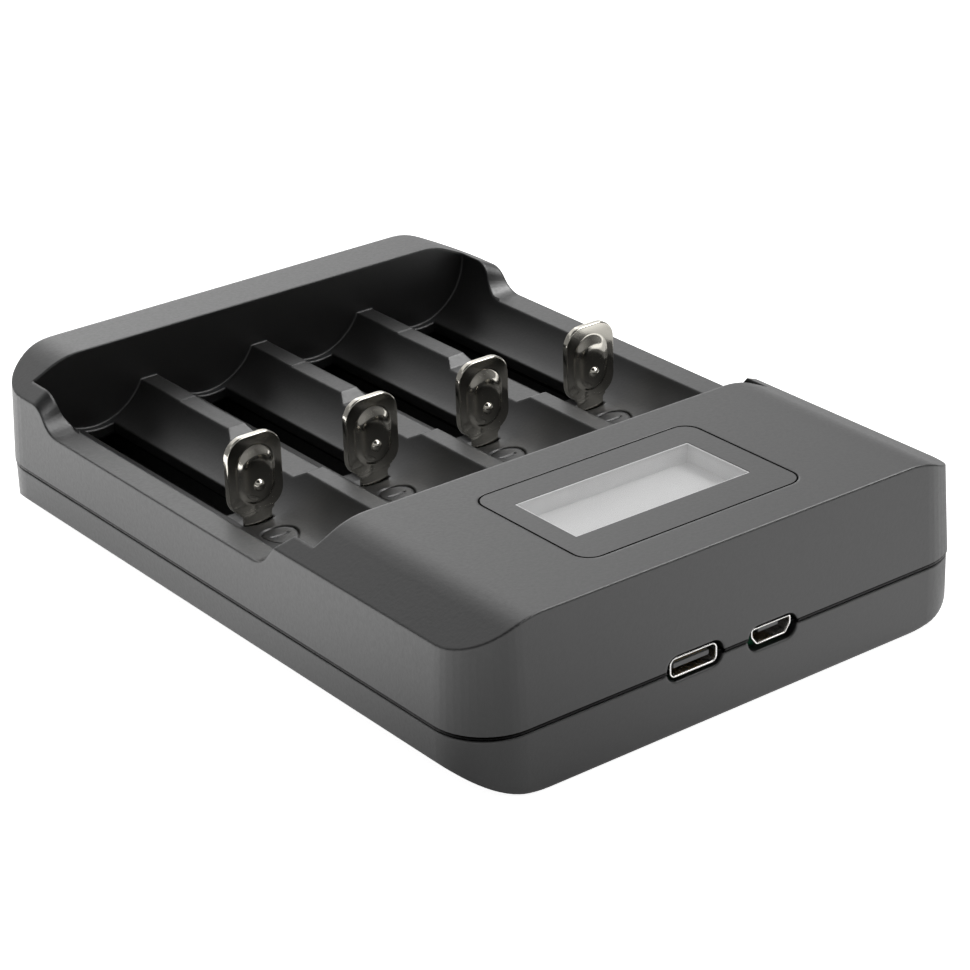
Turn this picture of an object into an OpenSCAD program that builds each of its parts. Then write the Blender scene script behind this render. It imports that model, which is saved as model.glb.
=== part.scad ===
// Four-bay charger for cylindrical lithium cells.
// X runs across the bays, Y from the socket face to the rear, Z up from the surface it stands on.

/* [Housing] */
// Width over the four bays, at the parting line
body_w = 95.2; // [94.8:0.1:100]
// Depth from the socket face to the rear, at the parting line
body_l = 132.4; // [131:0.1:142]
// Height of the upper housing above the parting line
upper_h = 17.1; // [16.5:0.1:19]
// Height of the lower housing below the parting line
lower_h = 10.1; // [9:0.1:14]
// Wall thickness of both housings
wall = 2.2; // [1.8:0.1:2.6]
// Radius of the two front corners in plan
front_corner_r = 9.2; // [6:0.1:14]
// Radius of the two rear corners in plan
rear_corner_r = 10.8; // [8:0.1:16]
// Draft of the upper walls, in millimetres for each millimetre of height
draft = 0.05; // [0.02:0.01:0.07]
// How far the rolled shoulder reaches in from each side
shoulder_reach = 13; // [11:0.5:15]
// How far the shoulder drops from the top to the side wall
shoulder_drop = 4.6; // [2:0.1:5.2]
// Slope of the shoulder where it meets the side wall, in degrees
shoulder_slope = 25; // [22:1:40]
// How far the curve of the underside reaches in from each side
belly_reach = 12.9; // [6:0.1:15]
// How far the underside rises at each side
belly_rise = 4.7; // [2:0.1:5.5]
// Height of the shadow line between the housings
seam_h = 0.35; // [0.2:0.05:0.6]
// Depth of the shadow line into the wall
seam_d = 1; // [0.4:0.1:1.2]
// How far the lower housing stands back from the upper one
seam_inset = 0.15; // [0:0.05:0.6]
// How far each foot stands out of the underside
foot_proud = 0.5; // [0.3:0.1:1.5]
// Diameter of each rubber foot
foot_d = 9; // [6:0.5:12]

/* [Deck and display] */
// Depth of the front deck
deck_l = 42.2; // [40:0.1:46]
// Width of the flush panel
bezel_w = 41.35; // [38:0.05:44]
// Depth of the flush panel
bezel_l = 26.35; // [24:0.05:28]
// Thickness of the flush panel
bezel_t = 0.6; // [0.4:0.1:1]
// Corner radius of the flush panel
bezel_r = 2.8; // [1:0.1:5]
// Gap round the flush panel
bezel_gap = 0.22; // [0.1:0.02:0.4]
// Distance from the socket face to the middle of the panel
bezel_mid = 21.8; // [20:0.1:23]
// Width of the display window
window_w = 33.1; // [28:0.1:34]
// Depth of the display window
window_l = 14.2; // [10:0.1:16]
// Sideways offset of the window in the panel
window_dx = -0.4; // [-1:0.1:1]
// Rearward offset of the window in the panel
window_dy = 0.8; // [-1:0.1:1]
// How far the display lies below the top of the deck
display_depth = 3; // [2.4:0.1:3.6]

/* [Bays] */
// Distance between neighbouring bays
bay_pitch = 22.12; // [21.8:0.02:22.5]
// Diameter of the largest cell
cell_d = 21; // [18:0.5:21.2]
// Clearance between the largest cell and its cradle
cell_clear = 0.15; // [0.1:0.05:0.25]
// Height of the cradle floor above the parting line
floor_h = 3.2; // [3:0.1:4]
// Thickness of the cradle shell
skin = 1.8; // [1.4:0.1:2]
// Thickness of the rear rim
rim_t = 9.8; // [9.5:0.1:14]
// Height of the low side walls above the parting line
side_h = 8.9; // [8:0.05:10]
// Height of the dividers at the rear and at the deck
divider_h = 9; // [8:0.05:10]
// Height of the dividers in the dip beside the sliders
dip_h = 7.5; // [6.8:0.1:8]
// Gap between the deck and the sliders at rest
rest_gap = 31.4; // [28:0.1:33]
// Travel of each slider
travel = 44; // [30:1:44]
// Width of each slot
slot_w = 5.6; // [5.4:0.1:6]

/* [Sliders] */
// Width of each contact plate
plate_w = 10; // [8:0.1:11]
// Height of each contact plate
plate_h = 13; // [11:0.1:14]
// Height of the foot of the plate above the parting line
plate_foot_h = 5.2; // [5:0.1:6]
// Corner radius of each contact plate
plate_r = 3.3; // [2:0.1:4]
// Sheet thickness of the contacts
sheet = 0.5; // [0.3:0.05:0.6]
// Depth of the flange turned back round each plate
flange_d = 1.6; // [1:0.1:2.2]
// Width of the stem below each plate
stem_w = 5.1; // [4:0.1:5.2]
// Width of each carriage
carriage_w = 9; // [8:0.1:9.6]
// Length of each carriage
carriage_l = 12; // [10:0.5:13]
// Sliding clearance round each carriage
slide_clear = 0.15; // [0.1:0.01:0.2]

/* [Sockets and board] */
// Distance of the USB-C socket to the left of the middle
usb_c_x = 8; // [7:0.1:10]
// Distance of the micro-USB socket to the right of the middle
micro_usb_x = 6.8; // [6:0.1:9]
// Height of the USB-C socket's middle above the parting line
usb_c_h = 0.25; // [0:0.05:0.5]
// Thickness of the circuit boards
board_t = 1.6; // [1:0.1:1.6]
// Width of the main circuit board
board_w = 71; // [70.6:0.1:72]
// Distance from the socket face to the rear edge of the main board
board_end = 46; // [45:0.1:48]

/* [Hidden] */

$fn = 64;
bays = [1, 2, 3, 4];
eps = 0.01;
over = 1;

housing_grey = [0.24, 0.24, 0.25];
nickel = [0.78, 0.77, 0.74];
board_green = [0.05, 0.28, 0.16];
black = [0.05, 0.05, 0.05];
frame_grey = [0.72, 0.73, 0.73];

// Heights above the surface that the feet stand on
part_z = foot_proud + lower_h;
top_z = part_z + upper_h;
bottom_z = foot_proud;
floor_z = foot_proud + wall;

// Places along the housing
front_y = -body_l / 2;
rear_y = body_l / 2;
deck_y = front_y + deck_l;
rim_y = rear_y - rim_t;
bay_l = rim_y - deck_y;
half_w = body_w / 2;

// Lip that locates the housings
lip_h = 1.4;
lip_t = 1;
lip_gap = 0.12;
lip_inset = wall + draft * upper_h + lip_gap;

// Cradles
cradle_r = cell_d / 2 + cell_clear;
cradle_z = part_z + floor_h + cradle_r;
outer_bay_x = 1.5 * bay_pitch;

// Low side walls: the ramp at the rim, hollow below and round above, and the fillet at the deck
ramp_r = 4.7;
ramp_top_r = 3.8;
ramp_foot = rim_y - 12;
ramp_steps = 8;
ramp_slices = 8;
end_r = 5;
end_slope = 50;
end_foot = deck_y + 11.6;
end_steps = 8;

// Rolled part of the roof inside the shoulder
roof_steps = 5;

// Dividers: where the dip beside the sliders begins and ends
dip_start = deck_y + rest_gap;
dip_ramp_in = 2.8;
dip_l = 19.9;
dip_ramp_out = 1.8;

// Sliders
plate_y = deck_y + rest_gap;
plate_z = part_z + plate_foot_h + plate_h / 2;
boss_w = 7.3;
boss_h = 10.2;
boss_rise = 0.9;
boss_z = plate_z - 0.2;
tip_d = 2.3;
tip_z = part_z + 10;
stem_y = plate_y;
tongue_l = 3.2;
slot_play = 0.3;
slot_start = stem_y - slot_play;
slot_end = stem_y + tongue_l + travel + slot_play;
carriage_top = part_z + floor_h - skin - slide_clear;
carriage_h = 4;
carriage_bottom = carriage_top - carriage_h;
carriage_y = plate_y - 3;
rail_t = 1.2;
rail_bottom = carriage_bottom - slide_clear;
rail_start = carriage_y - 3;
retainer_t = 1.6;
retainer_in = 5.6;
retainer_side = half_w - retainer_in;

// Boards and sockets
usb_c_w = 8.94;
usb_c_t = 3.2;
board_top = part_z + usb_c_h - usb_c_t / 2;
board_bottom = board_top - board_t;
board_front = 2.7;
board_play = 0.3;
socket_back = 0.45;
usb_c_l = 7.3;
usb_c_mouth_w = usb_c_w + 1.9;
usb_c_mouth_h = usb_c_t + 1.05;
shell_t = 0.3;
tongue_t = 0.7;
micro_l = 5.6;
micro_z = part_z;
micro_top = 1.25;
micro_low = board_top - micro_z;
micro_wall = 0.25;
micro_side = 3.75;
micro_foot = 2.75;
micro_cut = 0.35;
flare = 0.15;
micro_tongue_w = 3.8;
micro_tongue_in = 0.7;
micro_tongue_top = 0.1;
micro_tongue_t = 0.6;
micro_block_in = 4.2;
micro_mouth_w = 9.7;
micro_mouth_h = 4.2;
micro_mouth_z = micro_z - 0.2;
header_pins = 8;
header_pitch = 2;
header_w = 2.2;
header_h = 2.4;
pin_w = 0.5;
chip_pitch = 21;
chip_in = 28;
chip_y = front_y + chip_in;
controller_in = 22;
controller_y = front_y + controller_in;
inductor_x = 24;
inductor_y = front_y + 21;
inductor_h = 4;
well_depth = 0.3;
capacitor_x = 20;
capacitor_y = front_y + 12.5;

// Tension springs, in the room between the main board and the cradle shell
wire_r = 0.2;
coil_fit = 0.06;
spring_room = part_z + floor_h - skin - board_top;
coil_r = spring_room / 2 - wire_r - coil_fit;
spring_z = board_top + spring_room / 2;
coil_turns = 18;
coil_steps = 10;
wire_sides = 5;
stub_l = 2.4;
spring_start = front_y + board_end - 1.2;
spring_stop = carriage_y - 0.2;
spring_pitch = (spring_stop - spring_start) / coil_turns;

// Positive contacts
contact_w = 6;
contact_low = part_z + 4.5;
contact_high = part_z + 14.6;
contact_tail = wall + 0.5;
contact_tip_z = part_z + 11;
contact_tip_r = 2.6;
contact_tip_rise = 0.9;
contact_play = 0.15;

// Display stack, from the top down
bezel_y = front_y + bezel_mid;
window_x = window_dx;
window_y = bezel_y + window_dy;
frame_top = top_z - bezel_t;
lcd_top = top_z - display_depth;
lcd_t = 2.2;
backlight_t = 1.9;
display_board_top = lcd_top - lcd_t - backlight_t;
lcd_margin = 1.5;
frame_wall = 1.1;
display_board_w = 52;
display_board_l = 25;
display_screw_x = 23;
display_screw_y = 9.8;
pane_gap = 0.04;
pane_t = bezel_t - 0.05;
frame_lip = 0.25;
frame_play = 0.15;
lcd_gap = 0.1;
frame_w = window_w + 2 * (lcd_margin + frame_wall);
frame_l = window_l + 2 * (lcd_margin + frame_wall);
header_y = bezel_y + 10.5;

// Fasteners
front_screw_x = half_w - 9;
front_screw_y = front_y + 10;
rear_screw_y = rear_y - 6;
housing_screws_at = [
    [-front_screw_x, front_screw_y], [front_screw_x, front_screw_y],
    [-bay_pitch, rear_screw_y], [bay_pitch, rear_screw_y]
];
housing_boss_r = 4;
housing_screw_r = 1.2;
housing_head_r = 2.3;
housing_head_h = 1.6;
counterbore = 3.4;
housing_bite = 5.5;
retainer_bite = 4.9;
display_bite = 3.4;
board_screw_l = 5;
hole_room = 0.8;
retainer_screw_front = rail_start + 3;
retainer_screw_rear = rim_y - 4;
retainer_screws_at = [
    for (x = [-bay_pitch, 0, bay_pitch], y = [retainer_screw_front, retainer_screw_rear]) [x, y]
];
board_screws_at = [
    for (x = [-board_w / 2 + 4.5, board_w / 2 - 4.5], y = [front_y + 17.5, front_y + board_end - 9.5]) [x, y]
];
small_screw_r = 0.9;
small_head_r = 1.7;
small_head_h = 1.2;
small_boss_r = 2.3;
foot_x = 28;
foot_in = 14;
foot_recess = 0.8;
feet_at = [
    [-foot_x, front_y + foot_in], [foot_x, front_y + foot_in],
    [-foot_x, rear_y - foot_in], [foot_x, rear_y - foot_in]
];
vent_n = 8;
vent_pitch = 7;
vent_w = 1.8;
vent_l = 22;
vent_in = 31;
vent_y = front_y + vent_in;

// Place of a bay across the housing, counted from the left
function bay_x(i) = (i - 2.5) * bay_pitch;

// Radius of an arc that leaves a line tangent and drops over a given reach
function sagitta_r(reach, drop) = (reach * reach + drop * drop) / (2 * drop);

// Radius of the shoulder's roll, which ends in a straight slope down to the side wall
function roll_r(reach, drop) = (reach - drop / tan(shoulder_slope))
    / (sin(shoulder_slope) - (1 - cos(shoulder_slope)) / tan(shoulder_slope));

// Drop of a surface that runs inside the shoulder at an even distance
function inner_drop(t) = shoulder_drop - t * (1 + tan(shoulder_slope) - 1 / cos(shoulder_slope));

// Height of the straight slope of the shoulder at a distance from the middle
function slope_z(x) = top_z - shoulder_drop + (half_w - x) * tan(shoulder_slope);

// Rounded rectangle from true arcs, centred
module rounded(w, l, r) {
    square([w - 2 * r, l], center = true);
    square([w, l - 2 * r], center = true);
    for (x = [-1, 1], y = [-1, 1])
        translate([x * (w / 2 - r), y * (l / 2 - r)]) circle(r);
}

// Plan of the housing, set in by a given distance
module plan(inset) {
    w = half_w - inset;
    l = body_l / 2 - inset;
    rf = front_corner_r - inset;
    rr = rear_corner_r - inset;
    translate([-w, -l + rf]) square([2 * w, 2 * l - rf - rr]);
    translate([-w + rf, -l]) square([2 * (w - rf), rf]);
    translate([-w + rr, l - rr]) square([2 * (w - rr), rr]);
    for (s = [-1, 1]) {
        translate([s * (w - rf), -l + rf]) circle(rf);
        translate([s * (w - rr), l - rr]) circle(rr);
    }
}

// Pushes an outline drawn in X and Z along Y
module along_y(from, to) {
    translate([0, to, 0]) rotate([90, 0, 0]) linear_extrude(to - from) children();
}

// Pushes an outline drawn in Y and Z along X
module along_x(from, to) {
    translate([from, 0, 0]) rotate([90, 0, 90]) linear_extrude(to - from) children();
}

// Top of the upper housing seen from the front: flat, with a rolled shoulder at each side
module shoulder_profile(top, side, reach, drop) {
    r = roll_r(reach, drop);
    flat = side - reach;
    turn = flat + r * sin(shoulder_slope);
    turn_z = top - r * (1 - cos(shoulder_slope));
    low = top - drop - eps;
    translate([-side, part_z - over]) square([2 * side, top - drop - part_z + over]);
    translate([-flat, low]) square([2 * flat, drop + eps]);
    for (s = [-1, 1]) {
        polygon([
            [s * (flat - eps), low], [s * (flat - eps), turn_z],
            [s * turn, turn_z], [s * side, top - drop], [s * side, low]
        ]);
        intersection() {
            translate([s * flat, top - r]) circle(r, $fn = 180);
            translate([s > 0 ? flat - eps : -turn, turn_z - eps])
                square([turn - flat + eps, top - turn_z + over]);
        }
    }
}

// The same outline inside the wall, in straight steps, for the hollow and the bosses
module roof_profile(top, side, reach, drop) {
    r = roll_r(reach, drop);
    flat = side - reach;
    rolled = [
        for (k = [0 : roof_steps])
            let (a = shoulder_slope * k / roof_steps)
            [flat + r * sin(a), top - r * (1 - cos(a))]
    ];
    edge = concat(rolled, [[side, top - drop], [side, part_z - over]]);
    n = len(edge);
    polygon(concat(edge, [for (k = [n - 1 : -1 : 0]) [-edge[k].x, edge[k].y]]));
}

// Underside of the lower housing seen from the front: flat, curved up at each side
module belly_profile(low, side, reach, rise) {
    r = sagitta_r(reach, rise);
    flat = side - reach;
    translate([-side, low + rise]) square([2 * side, part_z - low - rise + over]);
    translate([-flat, low]) square([2 * flat, rise + eps]);
    for (s = [-1, 1])
        intersection() {
            translate([s * flat, low + r]) circle(r, $fn = 180);
            translate([s > 0 ? flat : -side, low - over]) square([reach, rise + over + eps]);
        }
}

// Drafted block with rounded corners under the rolled top
module upper_block() {
    intersection() {
        hull() {
            translate([0, 0, part_z]) linear_extrude(eps) plan(0, $fn = 48);
            translate([0, 0, top_z - eps]) linear_extrude(eps) plan(draft * upper_h, $fn = 48);
        }
        along_y(front_y - over, rear_y + over)
            shoulder_profile(top_z, half_w, shoulder_reach, shoulder_drop);
    }
}

// Cross-section of the four cradles, open above their axes
module cradle_profile(r) {
    for (i = bays) translate([bay_x(i), cradle_z]) circle(r, $fn = 96);
    translate([-outer_bay_x - r, cradle_z]) square([2 * (outer_bay_x + r), top_z]);
}

// Space above the dividers: high at the deck, a dip beside the sliders, high at the rear
module divider_profile(lower) {
    hi = part_z + divider_h - lower;
    lo = part_z + dip_h - lower;
    polygon([
        [deck_y, top_z + over],
        [deck_y, hi],
        [dip_start, hi],
        [dip_start + dip_ramp_in, lo],
        [dip_start + dip_ramp_in + dip_l - dip_ramp_out, lo],
        [dip_start + dip_ramp_in + dip_l, hi],
        [rim_y, hi],
        [rim_y, top_z + over]
    ]);
}

// Space above the low side walls, from the slope behind the deck to the foot of the ramp
module side_profile() {
    low = part_z + side_h;
    high = top_z + over;
    arc = [
        for (k = [0 : end_steps])
            let (a = end_slope * (1 - k / end_steps))
            [end_foot - end_r * sin(a), low + end_r * (1 - cos(a))]
    ];
    rise = high - arc[0].y;
    polygon(concat([[arc[0].x - rise / tan(end_slope), high]], arc, [[ramp_foot, low], [ramp_foot, high]]));
}

// Outline of the space above the ramp where the shoulder has a given height:
// a hollow arc up from the low wall, then a round one that ends level with the shoulder
function ramp_outline(z) = let (
    low = part_z + side_h,
    lean = acos(1 - (z - low) / (ramp_r + ramp_top_r)),
    back = ramp_foot + (ramp_r + ramp_top_r) * sin(lean)
) concat(
    [[ramp_foot - over, top_z + over], [ramp_foot - over, low]],
    [for (k = [0 : ramp_steps]) let (a = lean * k / ramp_steps) [ramp_foot + ramp_r * sin(a), low + ramp_r * (1 - cos(a))]],
    [for (k = [1 : ramp_steps]) let (a = lean * (1 - k / ramp_steps)) [back - ramp_top_r * sin(a), z - ramp_top_r * (1 - cos(a))]],
    [[back, top_z + over]]
);

// Space above the ramp of one side wall, lofted between slices across the wall
module ramp_room(s) {
    inner = outer_bay_x + cradle_r - over;
    pitch = (half_w + over - inner) / ramp_slices;
    slices = [
        for (j = [0 : ramp_slices])
            let (x = inner + j * pitch)
            [for (p = ramp_outline(slope_z(x) + eps)) [s * x, p.x, p.y]]
    ];
    n = len(slices[0]);
    sides = [
        for (j = [0 : ramp_slices - 1], k = [0 : n - 1])
            let (a = j * n + k, b = j * n + (k + 1) % n)
            each [[a, b, b + n], [a, b + n, a + n]]
    ];
    caps = [
        for (k = [1 : n - 2])
            let (m = ramp_slices * n)
            each [[0, k + 1, k], [m, m + k, m + k + 1]]
    ];
    faces = concat(sides, caps);
    polyhedron([for (o = slices) each o], s < 0 ? faces : [for (f = faces) [f[0], f[2], f[1]]]);
}

// Room for the cells: the cradles, and what is open above the dividers and the side walls
module cell_room() {
    along_y(deck_y, rim_y) cradle_profile(cradle_r);
    along_x(-outer_bay_x, outer_bay_x) divider_profile(0);
    along_x(-half_w - over, half_w + over) side_profile();
    ramp_room(-1);
    ramp_room(1);
}

// Hollow under the top, leaving a shell of even thickness round deck, cradles and rim
module upper_hollow() {
    lid = top_z - wall;
    difference() {
        intersection() {
            translate([0, 0, part_z - over]) linear_extrude(upper_h + over) plan(wall + draft * upper_h);
            along_y(front_y, rear_y)
                roof_profile(lid, half_w - wall, shoulder_reach - wall, inner_drop(wall));
        }
        along_y(deck_y - wall, rim_y + wall) cradle_profile(cradle_r + skin);
        translate([-half_w, deck_y - wall, part_z + dip_h - skin])
            cube([body_w, bay_l + 2 * wall, upper_h]);
    }
}

// Mouth of a socket through both front walls, with round ends
module socket_mouth(x, z, w, h) {
    along_y(front_y - over, front_y + wall + draft * upper_h + over)
        translate([x, z]) rounded(w, h, h / 2 - eps);
}

module socket_mouths() {
    socket_mouth(-usb_c_x, part_z + usb_c_h, usb_c_mouth_w, usb_c_mouth_h);
    socket_mouth(micro_usb_x, micro_mouth_z, micro_mouth_w, micro_mouth_h);
}

// Engraved minus sign in a ring, following the cradle floor
module minus_marks() {
    ring_r = 3;
    line = 0.32;
    bar = 3.2;
    depth = 0.3;
    intersection() {
        along_y(deck_y + over, rim_y - over)
            for (i = bays) translate([bay_x(i), cradle_z]) circle(cradle_r + depth, $fn = 96);
        for (i = bays)
            translate([bay_x(i), plate_y - 5.8, part_z]) linear_extrude(floor_h + over) {
                difference() {
                    circle(ring_r);
                    circle(ring_r - line);
                }
                square([bar, line], center = true);
            }
    }
}

// Bosses, guide rails and board posts inside the upper housing
module upper_bosses() {
    intersection() {
        for (p = housing_screws_at)
            translate([p.x, p.y, part_z]) cylinder(r = housing_boss_r, h = upper_h - wall / 2);
        along_y(front_y, rear_y)
            roof_profile(top_z - wall / 2, half_w - wall / 2, shoulder_reach - wall / 2, inner_drop(wall / 2));
    }
    for (p = retainer_screws_at)
        translate([p.x, p.y, rail_bottom]) cylinder(r = small_boss_r, h = part_z + dip_h - skin - rail_bottom + eps);
    for (i = bays, s = [-1, 1])
        translate([bay_x(i) + s * (carriage_w / 2 + slide_clear + rail_t / 2), rail_start, rail_bottom])
            translate([-rail_t / 2, 0, 0])
                cube([rail_t, rim_y + wall - rail_start, part_z + floor_h - rail_bottom]);
    for (x = [-1, 1], y = [-1, 1])
        translate([x * display_screw_x, bezel_y + y * display_screw_y, display_board_top])
            cylinder(r = small_boss_r, h = top_z - wall - display_board_top + eps);
}

module upper_screw_holes() {
    for (p = housing_screws_at)
        translate([p.x, p.y, part_z - over]) cylinder(r = housing_screw_r, h = housing_bite + hole_room + over);
    for (p = retainer_screws_at)
        translate([p.x, p.y, rail_bottom - over]) cylinder(r = small_screw_r, h = retainer_bite + hole_room + over);
    for (x = [-1, 1], y = [-1, 1])
        translate([x * display_screw_x, bezel_y + y * display_screw_y, display_board_top - over])
            cylinder(r = small_screw_r, h = display_bite + hole_room + over);
}

// Recess for the flush panel, and the opening for the display frame under it
module display_opening() {
    translate([0, bezel_y, frame_top])
        linear_extrude(bezel_t + over)
            rounded(bezel_w + 2 * bezel_gap, bezel_l + 2 * bezel_gap, bezel_r + bezel_gap);
    translate([window_x, window_y, top_z - wall - over])
        linear_extrude(wall + 2 * over)
            square([frame_w + 2 * frame_play, frame_l + 2 * frame_play], center = true);
}

// Slots in the cradle floors, and the passages for the positive contacts
module upper_slots() {
    for (i = bays) {
        translate([bay_x(i) - slot_w / 2, slot_start, part_z])
            cube([slot_w, slot_end - slot_start, floor_h + over]);
        translate([bay_x(i) - contact_w / 2 - contact_play, deck_y - wall - over, contact_low - contact_play])
            cube([contact_w + 2 * contact_play, wall + 2 * over, sheet + 2 * contact_play]);
    }
}

module upper_housing() {
    color(housing_grey) difference() {
        union() {
            difference() {
                upper_block();
                upper_hollow();
            }
            upper_bosses();
        }
        cell_room();
        display_opening();
        upper_slots();
        minus_marks();
        socket_mouths();
        upper_screw_holes();
    }
}

// Outer form of the lower housing
module lower_block() {
    intersection() {
        translate([0, 0, bottom_z]) linear_extrude(lower_h) plan(seam_inset);
        along_y(front_y - over, rear_y + over)
            belly_profile(bottom_z, half_w - seam_inset, belly_reach, belly_rise);
    }
}

module lower_hollow() {
    intersection() {
        translate([0, 0, floor_z]) linear_extrude(lower_h + over) plan(wall);
        along_y(front_y, rear_y)
            belly_profile(floor_z, half_w - wall, belly_reach - wall, belly_rise);
    }
}

// Lip that locates the two housings, inside the wall of the upper one
module lip() {
    difference() {
        translate([0, 0, floor_z + wall]) linear_extrude(part_z + lip_h - floor_z - wall) difference() {
            plan(wall - eps);
            plan(lip_inset + lip_t);
        }
        translate([0, 0, part_z]) linear_extrude(lip_h + over) difference() {
            plan(0);
            plan(lip_inset);
        }
        for (p = housing_screws_at)
            translate([p.x, p.y, part_z]) cylinder(r = housing_boss_r + 0.2, h = lip_h + over);
        translate([-board_w / 2 - board_play, front_y, floor_z])
            cube([board_w + 2 * board_play, lip_inset + lip_t + board_play, upper_h]);
        for (i = bays, s = [-1, 1])
            translate([bay_x(i) + s * (carriage_w / 2 + slide_clear + rail_t / 2) - rail_t, rim_y, part_z - over])
                cube([2 * rail_t, rim_t, lip_h + 2 * over]);
    }
}

module lower_housing() {
    color(housing_grey) difference() {
        union() {
            difference() {
                lower_block();
                lower_hollow();
            }
            intersection() {
                lip();
                translate([0, 0, bottom_z]) linear_extrude(lower_h + lip_h + over) plan(wall - eps);
            }
            for (p = housing_screws_at)
                translate([p.x, p.y, bottom_z + wall / 2]) cylinder(r = housing_boss_r, h = lower_h - wall / 2);
            for (p = board_screws_at)
                translate([p.x, p.y, floor_z - eps]) cylinder(r = small_boss_r, h = board_bottom - floor_z + eps);
            for (y = [rail_start + 6, rim_y - 8])
                translate([-retainer_side + 4, y, floor_z - eps])
                    cube([2 * retainer_side - 8, 1.4, rail_bottom - retainer_t - floor_z + eps]);
        }
        for (p = housing_screws_at) {
            translate([p.x, p.y, bottom_z - over]) cylinder(r = housing_screw_r + 0.2, h = lower_h + 2 * over);
            translate([p.x, p.y, bottom_z - over]) cylinder(r = housing_head_r + 0.3, h = counterbore + over);
        }
        for (p = board_screws_at)
            translate([p.x, p.y, floor_z + 0.4]) cylinder(r = small_screw_r, h = lower_h);
        for (p = feet_at)
            translate([p.x, p.y, bottom_z - over]) cylinder(d = foot_d + 0.2, h = foot_recess + over);
        for (i = [1 : vent_n])
            translate([(i - (vent_n + 1) / 2) * vent_pitch, vent_y, bottom_z - over])
                linear_extrude(wall + 2 * over) rounded(vent_w, vent_l, vent_w / 2 - eps);
        seam_groove();
        socket_mouths();
    }
}

// Shadow line round the outside of the parting line
module seam_groove() {
    translate([0, 0, part_z - seam_h]) linear_extrude(seam_h + over) difference() {
        plan(-over);
        plan(seam_inset + seam_d);
    }
}

module display_bezel() {
    color(housing_grey) translate([0, bezel_y, frame_top]) linear_extrude(bezel_t) difference() {
        rounded(bezel_w, bezel_l, bezel_r);
        translate([window_dx, window_dy]) square([window_w, window_l], center = true);
    }
}

module display_window() {
    color([0.85, 0.9, 0.9, 0.3]) translate([window_x, window_y, frame_top])
        linear_extrude(pane_t)
            square([window_w - 2 * pane_gap, window_l - 2 * pane_gap], center = true);
}

module display_frame() {
    color(frame_grey) difference() {
        translate([window_x, window_y, display_board_top])
            linear_extrude(frame_top - display_board_top)
                square([frame_w, frame_l], center = true);
        translate([window_x, window_y, lcd_top - eps])
            linear_extrude(frame_top - lcd_top + over)
                square([window_w - 2 * frame_lip, window_l - 2 * frame_lip], center = true);
        translate([window_x, window_y, display_board_top - over])
            linear_extrude(lcd_top - display_board_top + over)
                square([window_w + 2 * lcd_margin, window_l + 2 * lcd_margin], center = true);
    }
}

// One layer of the display
module lcd_layer(z, t) {
    translate([window_x, window_y, z]) linear_extrude(t)
        square([window_w + 2 * (lcd_margin - lcd_gap), window_l + 2 * (lcd_margin - lcd_gap)], center = true);
}

module lcd_glass() {
    color([0.8, 0.81, 0.8]) lcd_layer(lcd_top - lcd_t, lcd_t);
}

module display_backlight() {
    color([0.95, 0.95, 0.92]) lcd_layer(display_board_top, backlight_t);
}

module display_board() {
    color(board_green) difference() {
        translate([0, bezel_y, display_board_top - board_t])
            linear_extrude(board_t) square([display_board_w, display_board_l], center = true);
        for (x = [-1, 1], y = [-1, 1])
            translate([x * display_screw_x, bezel_y + y * display_screw_y, display_board_top - board_t - over])
                cylinder(r = small_screw_r + 0.1, h = board_t + 2 * over);
    }
}

// Pin header between the two boards: a moulded strip and its square pins
module display_header() {
    color(black) {
        translate([-header_pins * header_pitch / 2, header_y - header_w / 2, board_top])
            cube([header_pins * header_pitch, header_w, header_h]);
        for (i = [1 : header_pins])
            translate([(i - (header_pins + 1) / 2) * header_pitch - pin_w / 2, header_y - pin_w / 2, board_top])
                cube([pin_w, pin_w, display_board_top - board_t - board_top]);
    }
}

module main_circuit_board() {
    color(board_green) difference() {
        translate([-board_w / 2, front_y + board_front, board_bottom])
            cube([board_w, board_end - board_front, board_t]);
        for (p = board_screws_at)
            translate([p.x, p.y, board_bottom - over]) cylinder(r = small_screw_r + 0.1, h = board_t + 2 * over);
        for (p = housing_screws_at)
            translate([p.x, p.y, board_bottom - over]) cylinder(r = housing_boss_r + 0.4, h = board_t + 2 * over);
    }
}

// USB-C inlet: a drawn shell with round ends, closed at the back
module usb_c_shell() {
    color(nickel) difference() {
        along_y(front_y + socket_back, front_y + socket_back + usb_c_l)
            translate([-usb_c_x, part_z + usb_c_h]) rounded(usb_c_w, usb_c_t, usb_c_t / 2 - eps);
        along_y(front_y + socket_back - over, front_y + socket_back + usb_c_l - shell_t)
            translate([-usb_c_x, part_z + usb_c_h])
                rounded(usb_c_w - 2 * shell_t, usb_c_t - 2 * shell_t, usb_c_t / 2 - shell_t - eps);
    }
}

module usb_c_tongue() {
    color(black) translate([-usb_c_x, 0, part_z + usb_c_h]) {
        translate([-3.3, front_y + socket_back + 0.6, -tongue_t / 2])
            cube([6.6, usb_c_l - shell_t - 0.6, tongue_t]);
        along_y(front_y + socket_back + 5, front_y + socket_back + usb_c_l - shell_t)
            rounded(usb_c_w - 2 * shell_t - 0.1, usb_c_t - 2 * shell_t - 0.1, 1.24);
    }
}

// Outline of the micro-USB shell: wide above, narrower below
module micro_outline(grow) {
    polygon([
        [-micro_side + micro_cut - grow, micro_top + grow],
        [micro_side - micro_cut + grow, micro_top + grow],
        [micro_side + grow, micro_top - micro_cut + grow / 2],
        [micro_side + grow, -grow / 2],
        [micro_foot + grow / 2, micro_low - grow],
        [-micro_foot - grow / 2, micro_low - grow],
        [-micro_side - grow, -grow / 2],
        [-micro_side - grow, micro_top - micro_cut + grow / 2]
    ]);
}

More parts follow.
